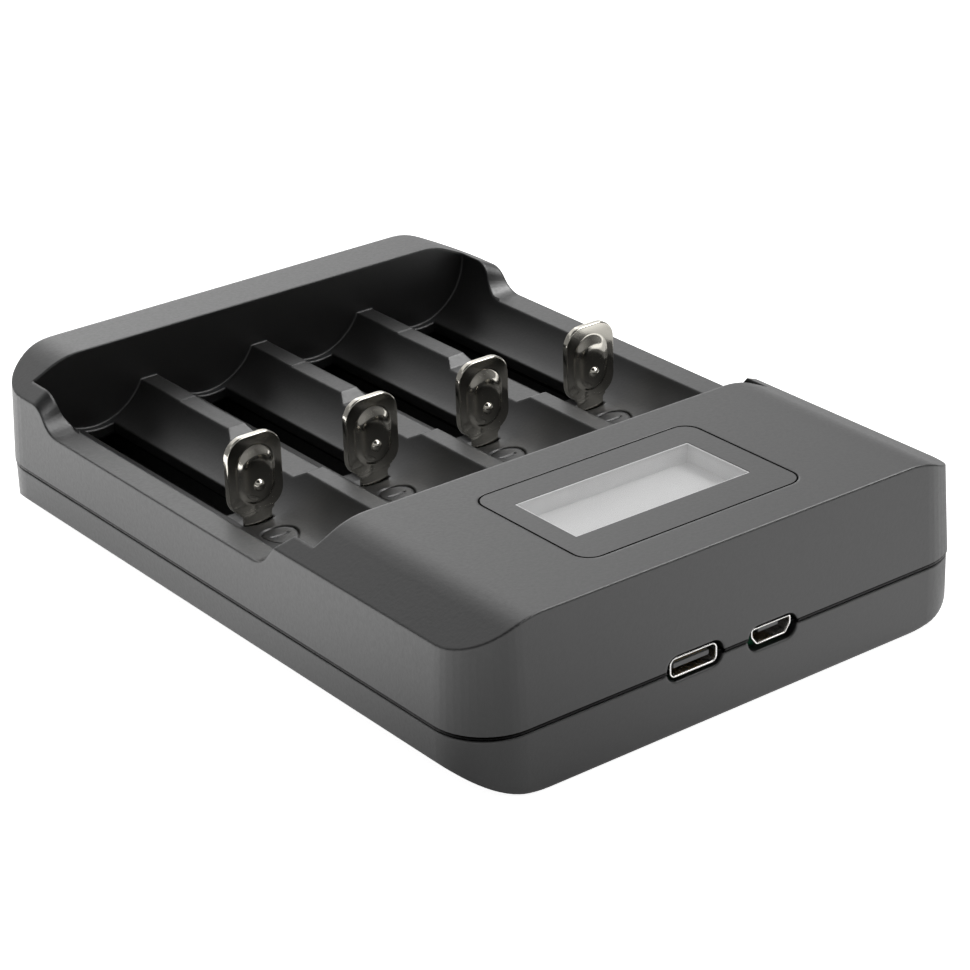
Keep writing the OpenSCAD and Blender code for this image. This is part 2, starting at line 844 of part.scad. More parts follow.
module micro_usb_shell() {
    mouth_y = front_y + socket_back;
    color(nickel) translate([micro_usb_x, 0, micro_z]) difference() {
        union() {
            along_y(mouth_y, mouth_y + micro_l) micro_outline(0);
            along_y(mouth_y, mouth_y + flare) micro_outline(flare);
        }
        along_y(mouth_y - over, mouth_y + micro_l - micro_wall) micro_outline(-micro_wall);
    }
}

module micro_usb_tongue() {
    mouth_y = front_y + socket_back;
    color(black) translate([micro_usb_x, 0, micro_z]) {
        translate([-micro_tongue_w / 2, mouth_y + micro_tongue_in, micro_tongue_top])
            cube([micro_tongue_w, micro_l - micro_wall - micro_tongue_in, micro_tongue_t]);
        along_y(mouth_y + micro_block_in, mouth_y + micro_l - micro_wall) micro_outline(-micro_wall - 0.05);
    }
}

// Flat chip on the board, centred
module chip(x, y, w, l, h) {
    color(black) translate([x - w / 2, y - l / 2, board_top]) cube([w, l, h]);
}

module controller_chip() {
    chip(0, controller_y, 9, 9, 1.2);
}

module charge_chip(i) {
    chip((i - 2.5) * chip_pitch, chip_y, 5, 5, 0.9);
}

// Shielded inductor: square block with broken corners and a round well
module power_inductor(x) {
    color([0.25, 0.24, 0.24]) difference() {
        translate([x, inductor_y, board_top]) linear_extrude(inductor_h) rounded(7.3, 7.3, 1.2);
        translate([x, inductor_y, board_top + inductor_h - well_depth]) cylinder(d = 5.4, h = over);
    }
}

// Electrolytic capacitor: can with a rolled groove on a square base
module filter_capacitor(x) {
    color([0.8, 0.8, 0.82]) translate([x, capacitor_y, board_top]) {
        linear_extrude(0.8) square(6.6, center = true);
        rotate_extrude() polygon([
            [0, 0.7], [3, 0.7], [3, 1.6], [2.7, 1.9], [2.7, 2.2], [3, 2.5],
            [3, 7.2], [2.7, 7.5], [0, 7.5]
        ]);
    }
}

// Positive contact: a strip on the rear face of the deck, passed through the wall to the board
module positive_contact(i) {
    color(nickel) translate([bay_x(i), 0, 0]) {
        along_x(-contact_w / 2, contact_w / 2) {
            translate([deck_y, contact_low]) square([sheet, contact_high - contact_low]);
            translate([deck_y - contact_tail - sheet, contact_low]) square([contact_tail + sheet + eps, sheet]);
            translate([deck_y - contact_tail - sheet, board_top]) square([sheet, contact_low - board_top + eps]);
        }
        intersection() {
            translate([0, deck_y + sheet + contact_tip_rise - contact_tip_r, contact_tip_z]) sphere(contact_tip_r);
            translate([-contact_tip_r, deck_y + sheet - eps, part_z]) cube([2 * contact_tip_r, contact_tip_r, upper_h]);
        }
    }
}

// Contact plate: a pressed cap with a raised oval, a round tip and a stem down into the slot
module contact_plate(i) {
    stem_low = carriage_bottom + 1;
    back = plate_y + sheet;
    color(nickel) translate([bay_x(i), 0, 0]) difference() {
        union() {
            along_y(plate_y, plate_y + flange_d) translate([0, plate_z]) rounded(plate_w, plate_h, plate_r);
            translate([-stem_w / 2, plate_y, stem_low]) cube([stem_w, sheet, plate_z - stem_low]);
            oval_boss(boss_w / 2, boss_rise);
            translate([0, plate_y - boss_rise + 0.35, tip_z]) sphere(d = tip_d);
        }
        along_y(back, plate_y + flange_d + over)
            translate([0, plate_z]) rounded(plate_w - 2 * sheet, plate_h - 2 * sheet, plate_r - sheet);
        translate([0, sheet, 0]) intersection() {
            oval_boss(boss_w / 2 - sheet / 2, boss_rise - 0.02);
            translate([-plate_w, plate_y - plate_w, plate_z - plate_h]) cube([2 * plate_w, 3 * plate_w, 2 * plate_h]);
        }
    }
}

// Raised oval: a domed stadium, made of two flattened balls and a flattened bar between them
module oval_boss(r, rise) {
    straight = boss_h / 2 - boss_w / 2;
    dome = rise / r;
    translate([0, plate_y + eps, boss_z]) scale([1, dome, 1]) {
        for (s = [-1, 1]) translate([0, 0, s * straight]) sphere(r);
        translate([0, 0, -straight]) cylinder(r = r, h = 2 * straight);
    }
}

// Carriage: a shoe under the slot, with a tongue in the slot and a stub for the spring
module slider_carriage(i) {
    tongue_w = stem_w - 0.1;
    tongue_top = part_z + floor_h - 0.3;
    color(black) translate([bay_x(i), 0, 0]) difference() {
        union() {
            translate([-carriage_w / 2, carriage_y, carriage_bottom]) cube([carriage_w, carriage_l, carriage_h]);
            translate([-tongue_w / 2, stem_y, carriage_top - eps])
                cube([tongue_w, tongue_l, tongue_top - carriage_top]);
            translate([0, carriage_y + eps, spring_z]) rotate([90, 0, 0])
                cylinder(r = coil_r - wire_r - coil_fit, h = stub_l);
        }
        translate([-stem_w / 2 - 0.1, stem_y - 0.06, carriage_bottom + 0.9])
            cube([stem_w + 0.2, sheet + 0.12, carriage_h + 3]);
        for (s = [-1, 1])
            translate([s * carriage_w / 2, carriage_y - over, carriage_bottom])
                rotate([0, 45, 0]) translate([-0.5, 0, -0.5]) cube([1, carriage_l + 2 * over, 1]);
    }
}

// Points of a coil along Y, and the ring of wire round each point
function coil_point(k) = [
    coil_r * cos(360 * k / coil_steps),
    spring_pitch * k / coil_steps,
    coil_r * sin(360 * k / coil_steps)
];
function wire_point(k, j) = let (
    turn = 360 * k / coil_steps,
    around = 360 * j / wire_sides,
    out = wire_r * cos(around)
) coil_point(k) + [out * cos(turn), wire_r * sin(around), out * sin(turn)];

module tension_spring(i) {
    rings = coil_turns * coil_steps;
    wire = [for (k = [0 : rings], j = [0 : wire_sides - 1]) wire_point(k, j)];
    skin_faces = [
        for (k = [0 : rings - 1], j = [0 : wire_sides - 1])
            let (a = k * wire_sides + j, b = k * wire_sides + (j + 1) % wire_sides)
            each [[a + wire_sides, b, a], [a + wire_sides, b + wire_sides, b]]
    ];
    first_cap = [for (j = [0 : wire_sides - 1]) j];
    last_cap = [for (j = [wire_sides - 1 : -1 : 0]) rings * wire_sides + j];
    color(nickel) translate([bay_x(i), spring_start, spring_z])
        polyhedron(wire, concat(skin_faces, [first_cap, last_cap]));
}

// Spring anchor: an angle on the board with a stub that the coil is wound onto
module spring_anchor(i) {
    anchor_w = 3.6;
    foot_l = 2.6;
    upright_y = spring_start - 0.2 - sheet;
    color(nickel) translate([bay_x(i), 0, 0]) {
        along_x(-anchor_w / 2, anchor_w / 2) {
            translate([upright_y, board_top]) square([sheet, spring_z + 1 - board_top]);
            translate([upright_y - foot_l, board_top]) square([foot_l + eps, sheet]);
        }
        translate([0, upright_y + sheet + stub_l, spring_z]) rotate([90, 0, 0])
            cylinder(r = coil_r - wire_r - coil_fit, h = stub_l + eps);
    }
}

// Plate that closes the guides from below
module slider_retainer() {
    color(black) difference() {
        translate([-retainer_side, rail_start, rail_bottom - retainer_t])
            cube([2 * retainer_side, rim_y - 0.5 - rail_start, retainer_t]);
        for (p = retainer_screws_at)
            translate([p.x, p.y, rail_bottom - retainer_t - over])
                cylinder(r = small_screw_r + 0.1, h = retainer_t + 2 * over);
    }
}

module rubber_foot(i) {
    color([0.1, 0.1, 0.1]) translate([feet_at[i - 1].x, feet_at[i - 1].y, 0])
        rotate_extrude() polygon([
            [0, 0], [foot_d / 2 - 0.3, 0], [foot_d / 2, 0.3],
            [foot_d / 2, foot_proud + foot_recess], [0, foot_proud + foot_recess]
        ]);
}

// Screw standing head down, its cross recess open below; z is the seat of its head
module screw(p, z, shank_r, head_r, head_h, length) {
    color([0.55, 0.55, 0.56]) translate([p.x, p.y, z]) difference() {
        union() {
            cylinder(r = shank_r, h = length);
            translate([0, 0, -head_h]) cylinder(r = head_r, h = head_h);
        }
        for (a = [0, 90])
            translate([0, 0, -head_h - over]) rotate([0, 0, a])
                translate([-head_r * 0.6, -head_r * 0.12, 0]) cube([head_r * 1.2, head_r * 0.24, head_h * 0.6 + over]);
    }
}

module housing_screws() {
    for (p = housing_screws_at)
        screw(
            p, bottom_z + counterbore, housing_screw_r, housing_head_r, housing_head_h,
            lower_h - counterbore + housing_bite
        );
}

// Screws driven from above: the same screw turned over
module screw_down(p, z, length) {
    translate([0, 0, z]) mirror([0, 0, 1]) screw(p, 0, small_screw_r, small_head_r, small_head_h, length);
}

module board_screws() {
    for (p = board_screws_at) screw_down(p, board_top, board_screw_l);
}

module retainer_screws() {
    for (p = retainer_screws_at)
        screw(
            p, rail_bottom - retainer_t, small_screw_r, small_head_r, small_head_h,
            retainer_t + retainer_bite
        );
}

module display_screws() {
    for (x = [-1, 1], y = [-1, 1])
        screw(
            [x * display_screw_x, bezel_y + y * display_screw_y],
            display_board_top - board_t, small_screw_r, small_head_r, small_head_h, board_t + display_bite
        );
}

upper_housing();
lower_housing();
display_bezel();
display_window();
display_frame();
lcd_glass();
display_backlight();
display_board();
display_header();
main_circuit_board();
usb_c_shell();
usb_c_tongue();
micro_usb_shell();
micro_usb_tongue();
controller_chip();
power_inductor(-inductor_x);  // power_inductor_1
power_inductor(inductor_x);  // power_inductor_2
filter_capacitor(-capacitor_x);  // filter_capacitor_1
filter_capacitor(capacitor_x);  // filter_capacitor_2
slider_retainer();
housing_screws();
board_screws();
retainer_screws();
display_screws();
for (i = bays) {
    charge_chip(i);
    positive_contact(i);
    contact_plate(i);
    slider_carriage(i);
    tension_spring(i);
    spring_anchor(i);
    rubber_foot(i);
}
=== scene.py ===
# %% [markdown]
# # A four-bay battery charger
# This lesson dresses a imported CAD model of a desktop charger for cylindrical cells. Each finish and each
# finer piece is then made in its own cell.

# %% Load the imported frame
import math
import bpy
import bmesh
from mathutils import Matrix, Vector


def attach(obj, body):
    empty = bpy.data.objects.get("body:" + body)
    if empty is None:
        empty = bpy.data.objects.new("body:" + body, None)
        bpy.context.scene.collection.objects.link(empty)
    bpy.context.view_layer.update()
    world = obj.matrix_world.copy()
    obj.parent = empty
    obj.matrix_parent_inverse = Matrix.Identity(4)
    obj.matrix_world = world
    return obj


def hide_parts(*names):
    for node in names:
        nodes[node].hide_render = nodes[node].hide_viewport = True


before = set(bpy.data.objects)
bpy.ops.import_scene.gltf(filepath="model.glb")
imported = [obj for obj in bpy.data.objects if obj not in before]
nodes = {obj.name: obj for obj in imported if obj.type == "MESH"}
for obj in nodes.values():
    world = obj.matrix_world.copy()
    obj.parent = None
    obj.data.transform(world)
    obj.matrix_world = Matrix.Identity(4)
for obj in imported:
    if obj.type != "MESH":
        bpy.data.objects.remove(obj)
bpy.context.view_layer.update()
print("solids to dress:", len(nodes))

# %% [markdown]
# ## The camera
# The photograph is taken with a long lens from the front left, about 25 degrees above the table, with a
# slight roll. A long lens keeps the edges of the housing almost parallel. The angles below turn straight
# into the three axes of the camera, which is safer than aiming at a target and then rolling.

# %% Place the camera
MM = 0.001
AZIMUTH, ELEVATION, ROLL = (math.radians(a) for a in (-36.75, 25.08, -1.88))
EYE = Vector((-260.68, -355.92, 218.98)) * MM
FOCAL_PIXELS, PICTURE_PIXELS, SENSOR_MM = 3067.7, 970, 36
back = Vector((
    math.sin(AZIMUTH) * math.cos(ELEVATION),
    -math.cos(AZIMUTH) * math.cos(ELEVATION),
    math.sin(ELEVATION),
))
level_right = Vector((0, 0, 1)).cross(back).normalized()
level_up = back.cross(level_right)
right = math.cos(ROLL) * level_right + math.sin(ROLL) * level_up
up = -math.sin(ROLL) * level_right + math.cos(ROLL) * level_up
camera_data = bpy.data.cameras.new("photo_camera")
camera_data.sensor_width = SENSOR_MM
camera_data.lens = FOCAL_PIXELS / PICTURE_PIXELS * SENSOR_MM
camera_data.clip_start = 0.01
camera = bpy.data.objects.new("photo_camera", camera_data)
camera.matrix_world = Matrix((
    (right.x, up.x, back.x, EYE.x),
    (right.y, up.y, back.y, EYE.y),
    (right.z, up.z, back.z, EYE.z),
    (0, 0, 0, 1),
))
bpy.context.scene.collection.objects.link(camera)
bpy.context.scene.camera = camera
print(f"lens {camera_data.lens:.1f} mm, {EYE.length:.2f} m from the middle of the charger")

# %% [markdown]
# ## Helpers for node trees
# Every finish here is a small tree of shader nodes. A helper that adds a node, sets its plain values and
# wires its links in one call keeps each material down to a few readable lines. A few smaller ones name the
# steps that come back in every tree: a product, the larger of two, a straight line and a soft step.

# %% Write the shader helpers
def add(tree, kind, links=None, settings=None, **values):
    """One new node: settings are its properties, values its plain sockets, links its wired sockets."""
    n = tree.nodes.new(kind)
    for key, value in (settings or {}).items():
        setattr(n, key, value)
    for key, value in values.items():
        n.inputs[key.replace("_", " ")].default_value = value
    for key, source in (links or {}).items():
        tree.links.new(source, n.inputs[key])
    return n


def times(tree, source, factor):
    """A socket times another socket or a plain number."""
    node = add(tree, "ShaderNodeMath", {0: source}, {"operation": "MULTIPLY"})
    if hasattr(factor, "is_linked"):
        tree.links.new(factor, node.inputs[1])
    else:
        node.inputs[1].default_value = factor
    return node.outputs[0]


def larger(tree, a, b):
    return add(tree, "ShaderNodeMath", {0: a, 1: b}, {"operation": "MAXIMUM"}).outputs[0]


def span(tree, value, low, high, start=0.0, end=1.0):
    """A straight line from low to high, between a start and an end."""
    return add(tree, "ShaderNodeMapRange", {"Value": value},
               From_Min=start, From_Max=end, To_Min=low, To_Max=high).outputs["Result"]


def fade(tree, value, start, end, low=0.0, high=1.0):
    """A soft step from low to high, between a start and an end."""
    return add(tree, "ShaderNodeMapRange", {"Value": value}, {"interpolation_type": "SMOOTHSTEP"},
               From_Min=start, From_Max=end, To_Min=low, To_Max=high).outputs["Result"]


print("helpers: add, times, larger, span, fade")

# %% [markdown]
# ## An empty finish
# A material starts from nothing but its output and its Object coordinates, which stay with the piece when
# it moves. Colours are typed as screen greys from 0 to 255, the way a picture shows them, and turned into
# the linear light that a renderer reckons in.

# %% Write the finish helpers
def new_finish(name):
    """An empty material with its tree, its output and its Object coordinates."""
    finish = bpy.data.materials.new(name)
    finish.use_nodes = True
    tree = finish.node_tree
    tree.nodes.clear()
    output = tree.nodes.new("ShaderNodeOutputMaterial")
    place = tree.nodes.new("ShaderNodeTexCoord").outputs["Object"]
    return finish, tree, output, place


def grey(value, warmth=0.0):
    """A screen grey from 0 to 255 as a linear colour, a little warm or cool."""
    c = value / 255
    c = c / 12.92 if c <= 0.04045 else ((c + 0.055) / 1.055) ** 2.4
    return (c * (1 + warmth), c, c * (1 - warmth), 1)


def two_tones(tree, mask, first, second):
    """A colour that runs from one tone to another with a mask."""
    mix = add(tree, "ShaderNodeMix", {"Factor": mask}, {"data_type": "RGBA"})
    mix.inputs["A"].default_value = first
    mix.inputs["B"].default_value = second
    return mix.outputs["Result"]


def add_skin(tree, output, colour, gloss, normal, **values):
    """The one shader of a finish, wired to its output."""
    skin = add(tree, "ShaderNodeBsdfPrincipled",
               {"Base Color": colour, "Roughness": gloss, "Normal": normal}, **values)
    tree.links.new(skin.outputs[0], output.inputs["Surface"])
    return skin


print("a mid grey of 128 is", round(grey(128)[0], 3), "in linear light")

# %% [markdown]
# ## The table
# The charger stands on a plain white table with a faint shadow. The paper is pale and matt. For rays from
# the eye, or through a clear piece, it glows as well, so it looks white and still puts no extra light on
# matt surfaces. Mirror rays get a glow of their own.

# %% Lay the white table
TABLE_REACH, PAPER_TONES = 4.0, (0.80, 0.83)
table_mesh = bpy.data.meshes.new("table")
table_corners = [(x * TABLE_REACH, y * TABLE_REACH, 0) for x, y in ((-1, -1), (1, -1), (1, 1), (-1, 1))]
table_mesh.from_pydata(table_corners, [], [(0, 1, 2, 3)])
table = bpy.data.objects.new("table", table_mesh)
bpy.context.scene.collection.objects.link(table)
table_finish, tree, output, place = new_finish("white_table")
paper = add(tree, "ShaderNodeTexNoise", {"Vector": place}, Scale=14.0, Detail=3.0)
paper_tone = span(tree, paper.outputs["Fac"], *PAPER_TONES)
lit = add(tree, "ShaderNodeBsdfDiffuse", {"Color": paper_tone}, Roughness=0.5)
print("table:", table.dimensions[:])

# %% [markdown]
# ## The table in the mirror
# The outer walls of dark plastic show the table as a soft mirror picture. In the photograph that picture is
# dim round the corner that faces the camera, brightest at the left and shaded at the right, so the glow for
# mirror rays follows the place on the table. This fits one view: from other sides the walls look different.

# %% Light the table for the eye and for mirrors
TABLE_GLOW = 0.86  # on top of the light on the paper, this is white to the eye
NEAR_CORNER = (-0.062, -0.085, 0)
from_corner = add(tree, "ShaderNodeVectorMath", {0: place}, {"operation": "DISTANCE"})
from_corner.inputs[1].default_value = NEAR_CORNER
sides = add(tree, "ShaderNodeSeparateXYZ", {"Vector": place})
dim_corner = fade(tree, from_corner.outputs["Value"], 0.0, 0.10, 0.15, 1.08)
bright_left = fade(tree, sides.outputs["X"], -0.085, -0.045, 1.8, 1.0)
at_right = fade(tree, sides.outputs["X"], 0.044, 0.056)
behind_front = fade(tree, sides.outputs["Y"], -0.075, -0.055)
shaded_right = span(tree, times(tree, at_right, behind_front), 1.0, 0.15)
mirror_glow = times(tree, times(tree, dim_corner, bright_left), shaded_right)
ray = tree.nodes.new("ShaderNodeLightPath")
seen = larger(tree, ray.outputs["Is Camera Ray"], ray.outputs["Is Transmission Ray"])
strength = larger(tree, times(tree, seen, TABLE_GLOW), times(tree, ray.outputs["Is Glossy Ray"], mirror_glow))
glow = add(tree, "ShaderNodeEmission", {"Strength": strength}, Color=(1, 1, 1, 1))
both = add(tree, "ShaderNodeAddShader", {0: lit.outputs[0], 1: glow.outputs[0]})
print("table glow:", TABLE_GLOW)

# %% [markdown]
# ## An eye below the table
# The underside of the charger is worth a look too. Seen from its back, the table is clear.

# %% Let an eye below look through
underside = tree.nodes.new("ShaderNodeNewGeometry").outputs["Backfacing"]
clear = tree.nodes.new("ShaderNodeBsdfTransparent")
one_way = add(tree, "ShaderNodeMixShader", {0: underside, 1: both.outputs[0], 2: clear.outputs[0]})
tree.links.new(one_way.outputs[0], output.inputs["Surface"])
table_mesh.materials.append(table_finish)
print("table finish:", len(tree.nodes), "nodes")

# %% [markdown]
# ## The air
# The world answers three kinds of rays. Matt surfaces get a plain light from all sides, and the eye sees
# white. Mirror rays see a studio: a backdrop, a card above it and a dim ceiling, each with a strength that
# changes round the horizon. A colour ramp holds the strengths as shares of a top value. They were fitted
# to one photograph, and some are well above 1, so nearly black plastic looks mid grey from this side and
# darker from others. A plain even world with a lighter plastic would be the simpler way.

# %% Name the stops of the air
# degrees from the charger's rear round to its right, strength of backdrop and card, Z of the card's top
AIR_STOPS = [
    (-180, 0.35, 1.0, 0.72), (-30, 0.35, 1.1, 0.72), (-5, 1.2, 1.2, 0.72), (14, 1.6, 1.25, 0.72),
    (24, 3.1, 1.7, 0.72), (33, 1.9, 2.5, 0.72), (43, 1.0, 2.8, 0.74), (60, 0.35, 3.2, 0.82),
    (110, 0.3, 5.0, 0.88), (145, 0.12, 5.2, 0.86), (180, 0.3, 1.0, 0.72),
]
RAMP_TOP, CEILING = 8.0, 0.2  # what a full colour stands for, up to the card's top and above it
CEILING_FADE = 0.08
CARD_FOOT = (0.60, 0.68)  # Z of a direction where the backdrop turns into the card
MATT_LIGHT = 0.65
print("stops round the horizon:", len(AIR_STOPS))

# %% [markdown]
# ## Filling the air
# The compass direction of a ray picks its place in the ramp, and its height picks backdrop, card or
# ceiling. Light Path nodes then keep the three kinds of rays apart.

# %% Fill the air
world = bpy.data.worlds.new("studio_air")
world.use_nodes = True
tree = world.node_tree
tree.nodes.clear()
ray = tree.nodes.new("ShaderNodeLightPath")
towards = tree.nodes.new("ShaderNodeTexCoord").outputs["Generated"]
axes = add(tree, "ShaderNodeSeparateXYZ", {"Vector": towards})
compass = add(tree, "ShaderNodeMath", {0: axes.outputs["X"], 1: axes.outputs["Y"]}, {"operation": "ARCTAN2"})
ramp = add(tree, "ShaderNodeValToRGB", {"Fac": span(tree, compass.outputs[0], 0.0, 1.0, -math.pi, math.pi)})
stops = ramp.color_ramp.elements
while len(stops) > 1:
    stops.remove(stops[0])
for k, (degrees, backdrop, card, card_top) in enumerate(AIR_STOPS):
    stop = stops[0] if k == 0 else stops.new((degrees + 180) / 360)
    stop.position = (degrees + 180) / 360
    stop.color = (backdrop / RAMP_TOP, card / RAMP_TOP, card_top, 1)
bands = add(tree, "ShaderNodeSeparateColor", {"Color": ramp.outputs["Color"]})
climb = fade(tree, axes.outputs["Z"], *CARD_FOOT)
band = add(tree, "ShaderNodeMix", {"Factor": climb, "A": bands.outputs["Red"], "B": bands.outputs["Green"]})
above = add(tree, "ShaderNodeMath", {0: axes.outputs["Z"], 1: bands.outputs["Blue"]},
            {"operation": "SUBTRACT"})
full_colour = fade(tree, above.outputs[0], 0.0, CEILING_FADE, RAMP_TOP, CEILING)
to_mirror = times(tree, times(tree, band.outputs["Result"], full_colour), ray.outputs["Is Glossy Ray"])
to_matt = times(tree, ray.outputs["Is Diffuse Ray"], MATT_LIGHT)
to_eye = larger(tree, ray.outputs["Is Camera Ray"], ray.outputs["Is Transmission Ray"])
strength = larger(tree, larger(tree, to_mirror, to_matt), to_eye)
air = add(tree, "ShaderNodeBackground", {"Strength": strength}, Color=(1, 1, 1, 1))
sky = tree.nodes.new("ShaderNodeOutputWorld")
tree.links.new(air.outputs[0], sky.inputs["Surface"])
bpy.context.scene.world = world
bpy.context.scene.view_settings.view_transform = "Standard"
print("air:", world.name, "with", len(tree.nodes), "nodes")

# %% [markdown]
# ## The lamp
# Flat tops mirror the backdrop behind the charger, the slope in front mirrors the dim ceiling above it, and
# both outer walls mirror the table. So the table and the air do most of the work, and one small box high on
# the right picks out the rounded edges, the ramps and the contacts.

# %% Hang the soft box
def soft_box(name, at, aim, size, watts):
    """An area lamp of a width and height that hangs at a point and looks at another."""
    data = bpy.data.lights.new(name, "AREA")
    data.shape = "RECTANGLE"
    data.size, data.size_y = size
    data.energy = watts
    lamp = bpy.data.objects.new(name, data)
    lamp.location = at
    lamp.rotation_euler = (Vector(aim) - Vector(at)).to_track_quat("-Z", "Y").to_euler()
    bpy.context.scene.collection.objects.link(lamp)


soft_box("right_box", at=(0.66, 0.03, 0.84), aim=(0, 0, 0), size=(0.36, 0.36), watts=4.5)

# %% [markdown]
# ## Painted shade in the seam and the panel gap
# Two narrow bands are painted black as the shade that fills them, because no light gets out of them: the seam
# between the housings, and the gap round the display panel. The seam is a band of heights. The gap is the
# distance to a rounded rectangle, drawn with plain math, and only at the height of the deck.

# %% Find the seam and the gap
PART_Z = 10.6  # height of the parting line above the table, in millimetres
SEAM_Z, SEAM_HALF = PART_Z + 0.15, 0.28
PANEL_Y = -44.4  # middle of the display panel
GAP_HALF, GAP_R, GAP_WIDTH_HALF = (20.785, 13.285), 2.9, 0.20
DECK_BAND = (27.0, 0.75)


def near(tree, value, target, reach_mm):
    """One where a length is within reach of a target, and zero elsewhere."""
    off = add(tree, "ShaderNodeMath", {0: value}, {"operation": "SUBTRACT"})
    off.inputs[1].default_value = target * MM
    size = add(tree, "ShaderNodeMath", {0: off.outputs[0]}, {"operation": "ABSOLUTE"})
    inside = add(tree, "ShaderNodeMath", {0: size.outputs[0]}, {"operation": "LESS_THAN"})
    inside.inputs[1].default_value = reach_mm * MM
    return inside.outputs[0]


def painted_gap_shade(tree, place):
    """The seam between the housings and the gap round the display panel, as one mask of painted shade."""
    axes = add(tree, "ShaderNodeSeparateXYZ", {"Vector": place})
    seam = near(tree, axes.outputs["Z"], SEAM_Z, SEAM_HALF)
    moved = add(tree, "ShaderNodeVectorMath", {0: place}, {"operation": "SUBTRACT"})
    moved.inputs[1].default_value = (0, PANEL_Y * MM, 0)
    folded = add(tree, "ShaderNodeVectorMath", {0: moved.outputs[0]}, {"operation": "ABSOLUTE"})
    beyond = add(tree, "ShaderNodeVectorMath", {0: folded.outputs[0]}, {"operation": "SUBTRACT"})
    beyond.inputs[1].default_value = ((GAP_HALF[0] - GAP_R) * MM, (GAP_HALF[1] - GAP_R) * MM, 1)
    positive = add(tree, "ShaderNodeVectorMath", {0: beyond.outputs[0]}, {"operation": "MAXIMUM"})
    length = add(tree, "ShaderNodeVectorMath", {0: positive.outputs[0]}, {"operation": "LENGTH"})
    on_gap = near(tree, length.outputs["Value"], GAP_R, GAP_WIDTH_HALF)
    return larger(tree, seam, times(tree, on_gap, near(tree, axes.outputs["Z"], *DECK_BAND)))


print("seam at", SEAM_Z, "mm, panel gap of radius", GAP_R, "mm")

# %% [markdown]
# ## Moulded plastic
# The two housings and the flush panel are one dark plastic with a fine spark-eroded grain. The grain is a
# noise of about a third of a millimetre that drives a bump and the gloss, a coarser noise changes the tone
# a little from place to place, and the Bevel node rounds every hard edge in the light, as a mould does.

# %% Make the moulded plastic
def moulded_plastic(name, tone, rough, grain_mm=0.3, depth_mm=0.018, edge_mm=0.6, lines=True):
    """Grained plastic: a screen grey, a mean roughness, and the size and depth of its grain."""
    finish, tree, output, place = new_finish(name)
    grain = add(tree, "ShaderNodeTexNoise", {"Vector": place},
                Scale=1000 / grain_mm / 2, Detail=2.0, Roughness=0.6)
    cloud = add(tree, "ShaderNodeTexNoise", {"Vector": place}, Scale=70.0, Detail=4.0)
    colour = two_tones(tree, cloud.outputs["Fac"], grey(tone - 3), grey(tone + 3))
    gloss = span(tree, grain.outputs["Fac"], rough - 0.08, rough + 0.08)
    edge = add(tree, "ShaderNodeBevel", settings={"samples": 8}, Radius=edge_mm * MM)
    bump = add(tree, "ShaderNodeBump", {"Height": grain.outputs["Fac"], "Normal": edge.outputs["Normal"]},
               Strength=1.0, Distance=depth_mm * MM)
    skin = add_skin(tree, output, colour, gloss, bump.outputs["Normal"], Specular_IOR_Level=0.65)
    # painted shade: the seam and the panel gap become a black metal, so they show black as if in shadow
    if lines:  # a metal of no colour reflects next to nothing, so it is the blackest finish there is
        dark = painted_gap_shade(tree, place)
        painted_shade_colour = add(tree, "ShaderNodeMix", {"Factor": dark, "A": colour}, {"data_type": "RGBA"})
        painted_shade_colour.inputs["B"].default_value = (0, 0, 0, 1)
        tree.links.new(painted_shade_colour.outputs["Result"], skin.inputs["Base Color"])
        tree.links.new(dark, skin.inputs["Metallic"])
    return finish


housing_plastic = moulded_plastic("housing_plastic", 16, 0.40)
panel_plastic = moulded_plastic("panel_plastic", 16, 0.38, edge_mm=0.15)
shoe_plastic = moulded_plastic("shoe_plastic", 40, 0.5, lines=False)
print("plastics:", housing_plastic.name, panel_plastic.name, shoe_plastic.name)

# %% [markdown]
# ## Metals
# Metal is a conductor, so its colour is in its reflection. A noise that is stretched along one axis gives
# the contacts the faint rolled lines of strip metal, and a finer one makes their gloss a little uneven.

# %% Make the metals
def sheet_metal(name, colour, rough, lines=(9000, 400, 400), depth_mm=0.002, edge_mm=0.1):
    """Plated strip: its reflection colour, mean roughness, and the stretch of its rolled lines."""
    finish, tree, output, place = new_finish(name)
    stretch = add(tree, "ShaderNodeMapping", {"Vector": place}, Scale=lines)
    roll_lines = add(tree, "ShaderNodeTexNoise", {"Vector": stretch.outputs[0]}, Scale=1.0, Detail=3.0)
    haze = add(tree, "ShaderNodeTexNoise", {"Vector": place}, Scale=600.0, Detail=3.0)
    gloss = span(tree, haze.outputs["Fac"], rough * 0.7, rough * 1.4)
    edge = add(tree, "ShaderNodeBevel", settings={"samples": 4}, Radius=edge_mm * MM)
    bump = add(tree, "ShaderNodeBump",
               {"Height": roll_lines.outputs["Fac"], "Normal": edge.outputs["Normal"]},
               Strength=0.6, Distance=depth_mm * MM)
    tone = two_tones(tree, haze.outputs["Fac"], tuple(c * 0.94 for c in colour[:3]) + (1,), colour)
    add_skin(tree, output, tone, gloss, bump.outputs["Normal"], Metallic=1.0)
    return finish


nickel = sheet_metal("nickel_plate", (0.52, 0.50, 0.45, 1), 0.13)
socket_steel = sheet_metal("socket_steel", (0.74, 0.73, 0.71, 1), 0.22)
spring_steel = sheet_metal("coil_steel", (0.62, 0.62, 0.62, 1), 0.3)
screw_steel = sheet_metal("screw_steel", (0.45, 0.45, 0.46, 1), 0.34)
gold = sheet_metal("gold_flash", (0.86, 0.62, 0.30, 1), 0.25)
print("metals:", nickel.name, socket_steel.name, spring_steel.name, screw_steel.name, gold.name)

# %% [markdown]
# ## Boards, rubber, chips and the display
# These surfaces have no grain that the eye could follow, only a little unevenness. One noise speckles the
# tone, the gloss and the relief together, and each finish gets the gloss that the real one has. The pane
# over the display is mostly clear.

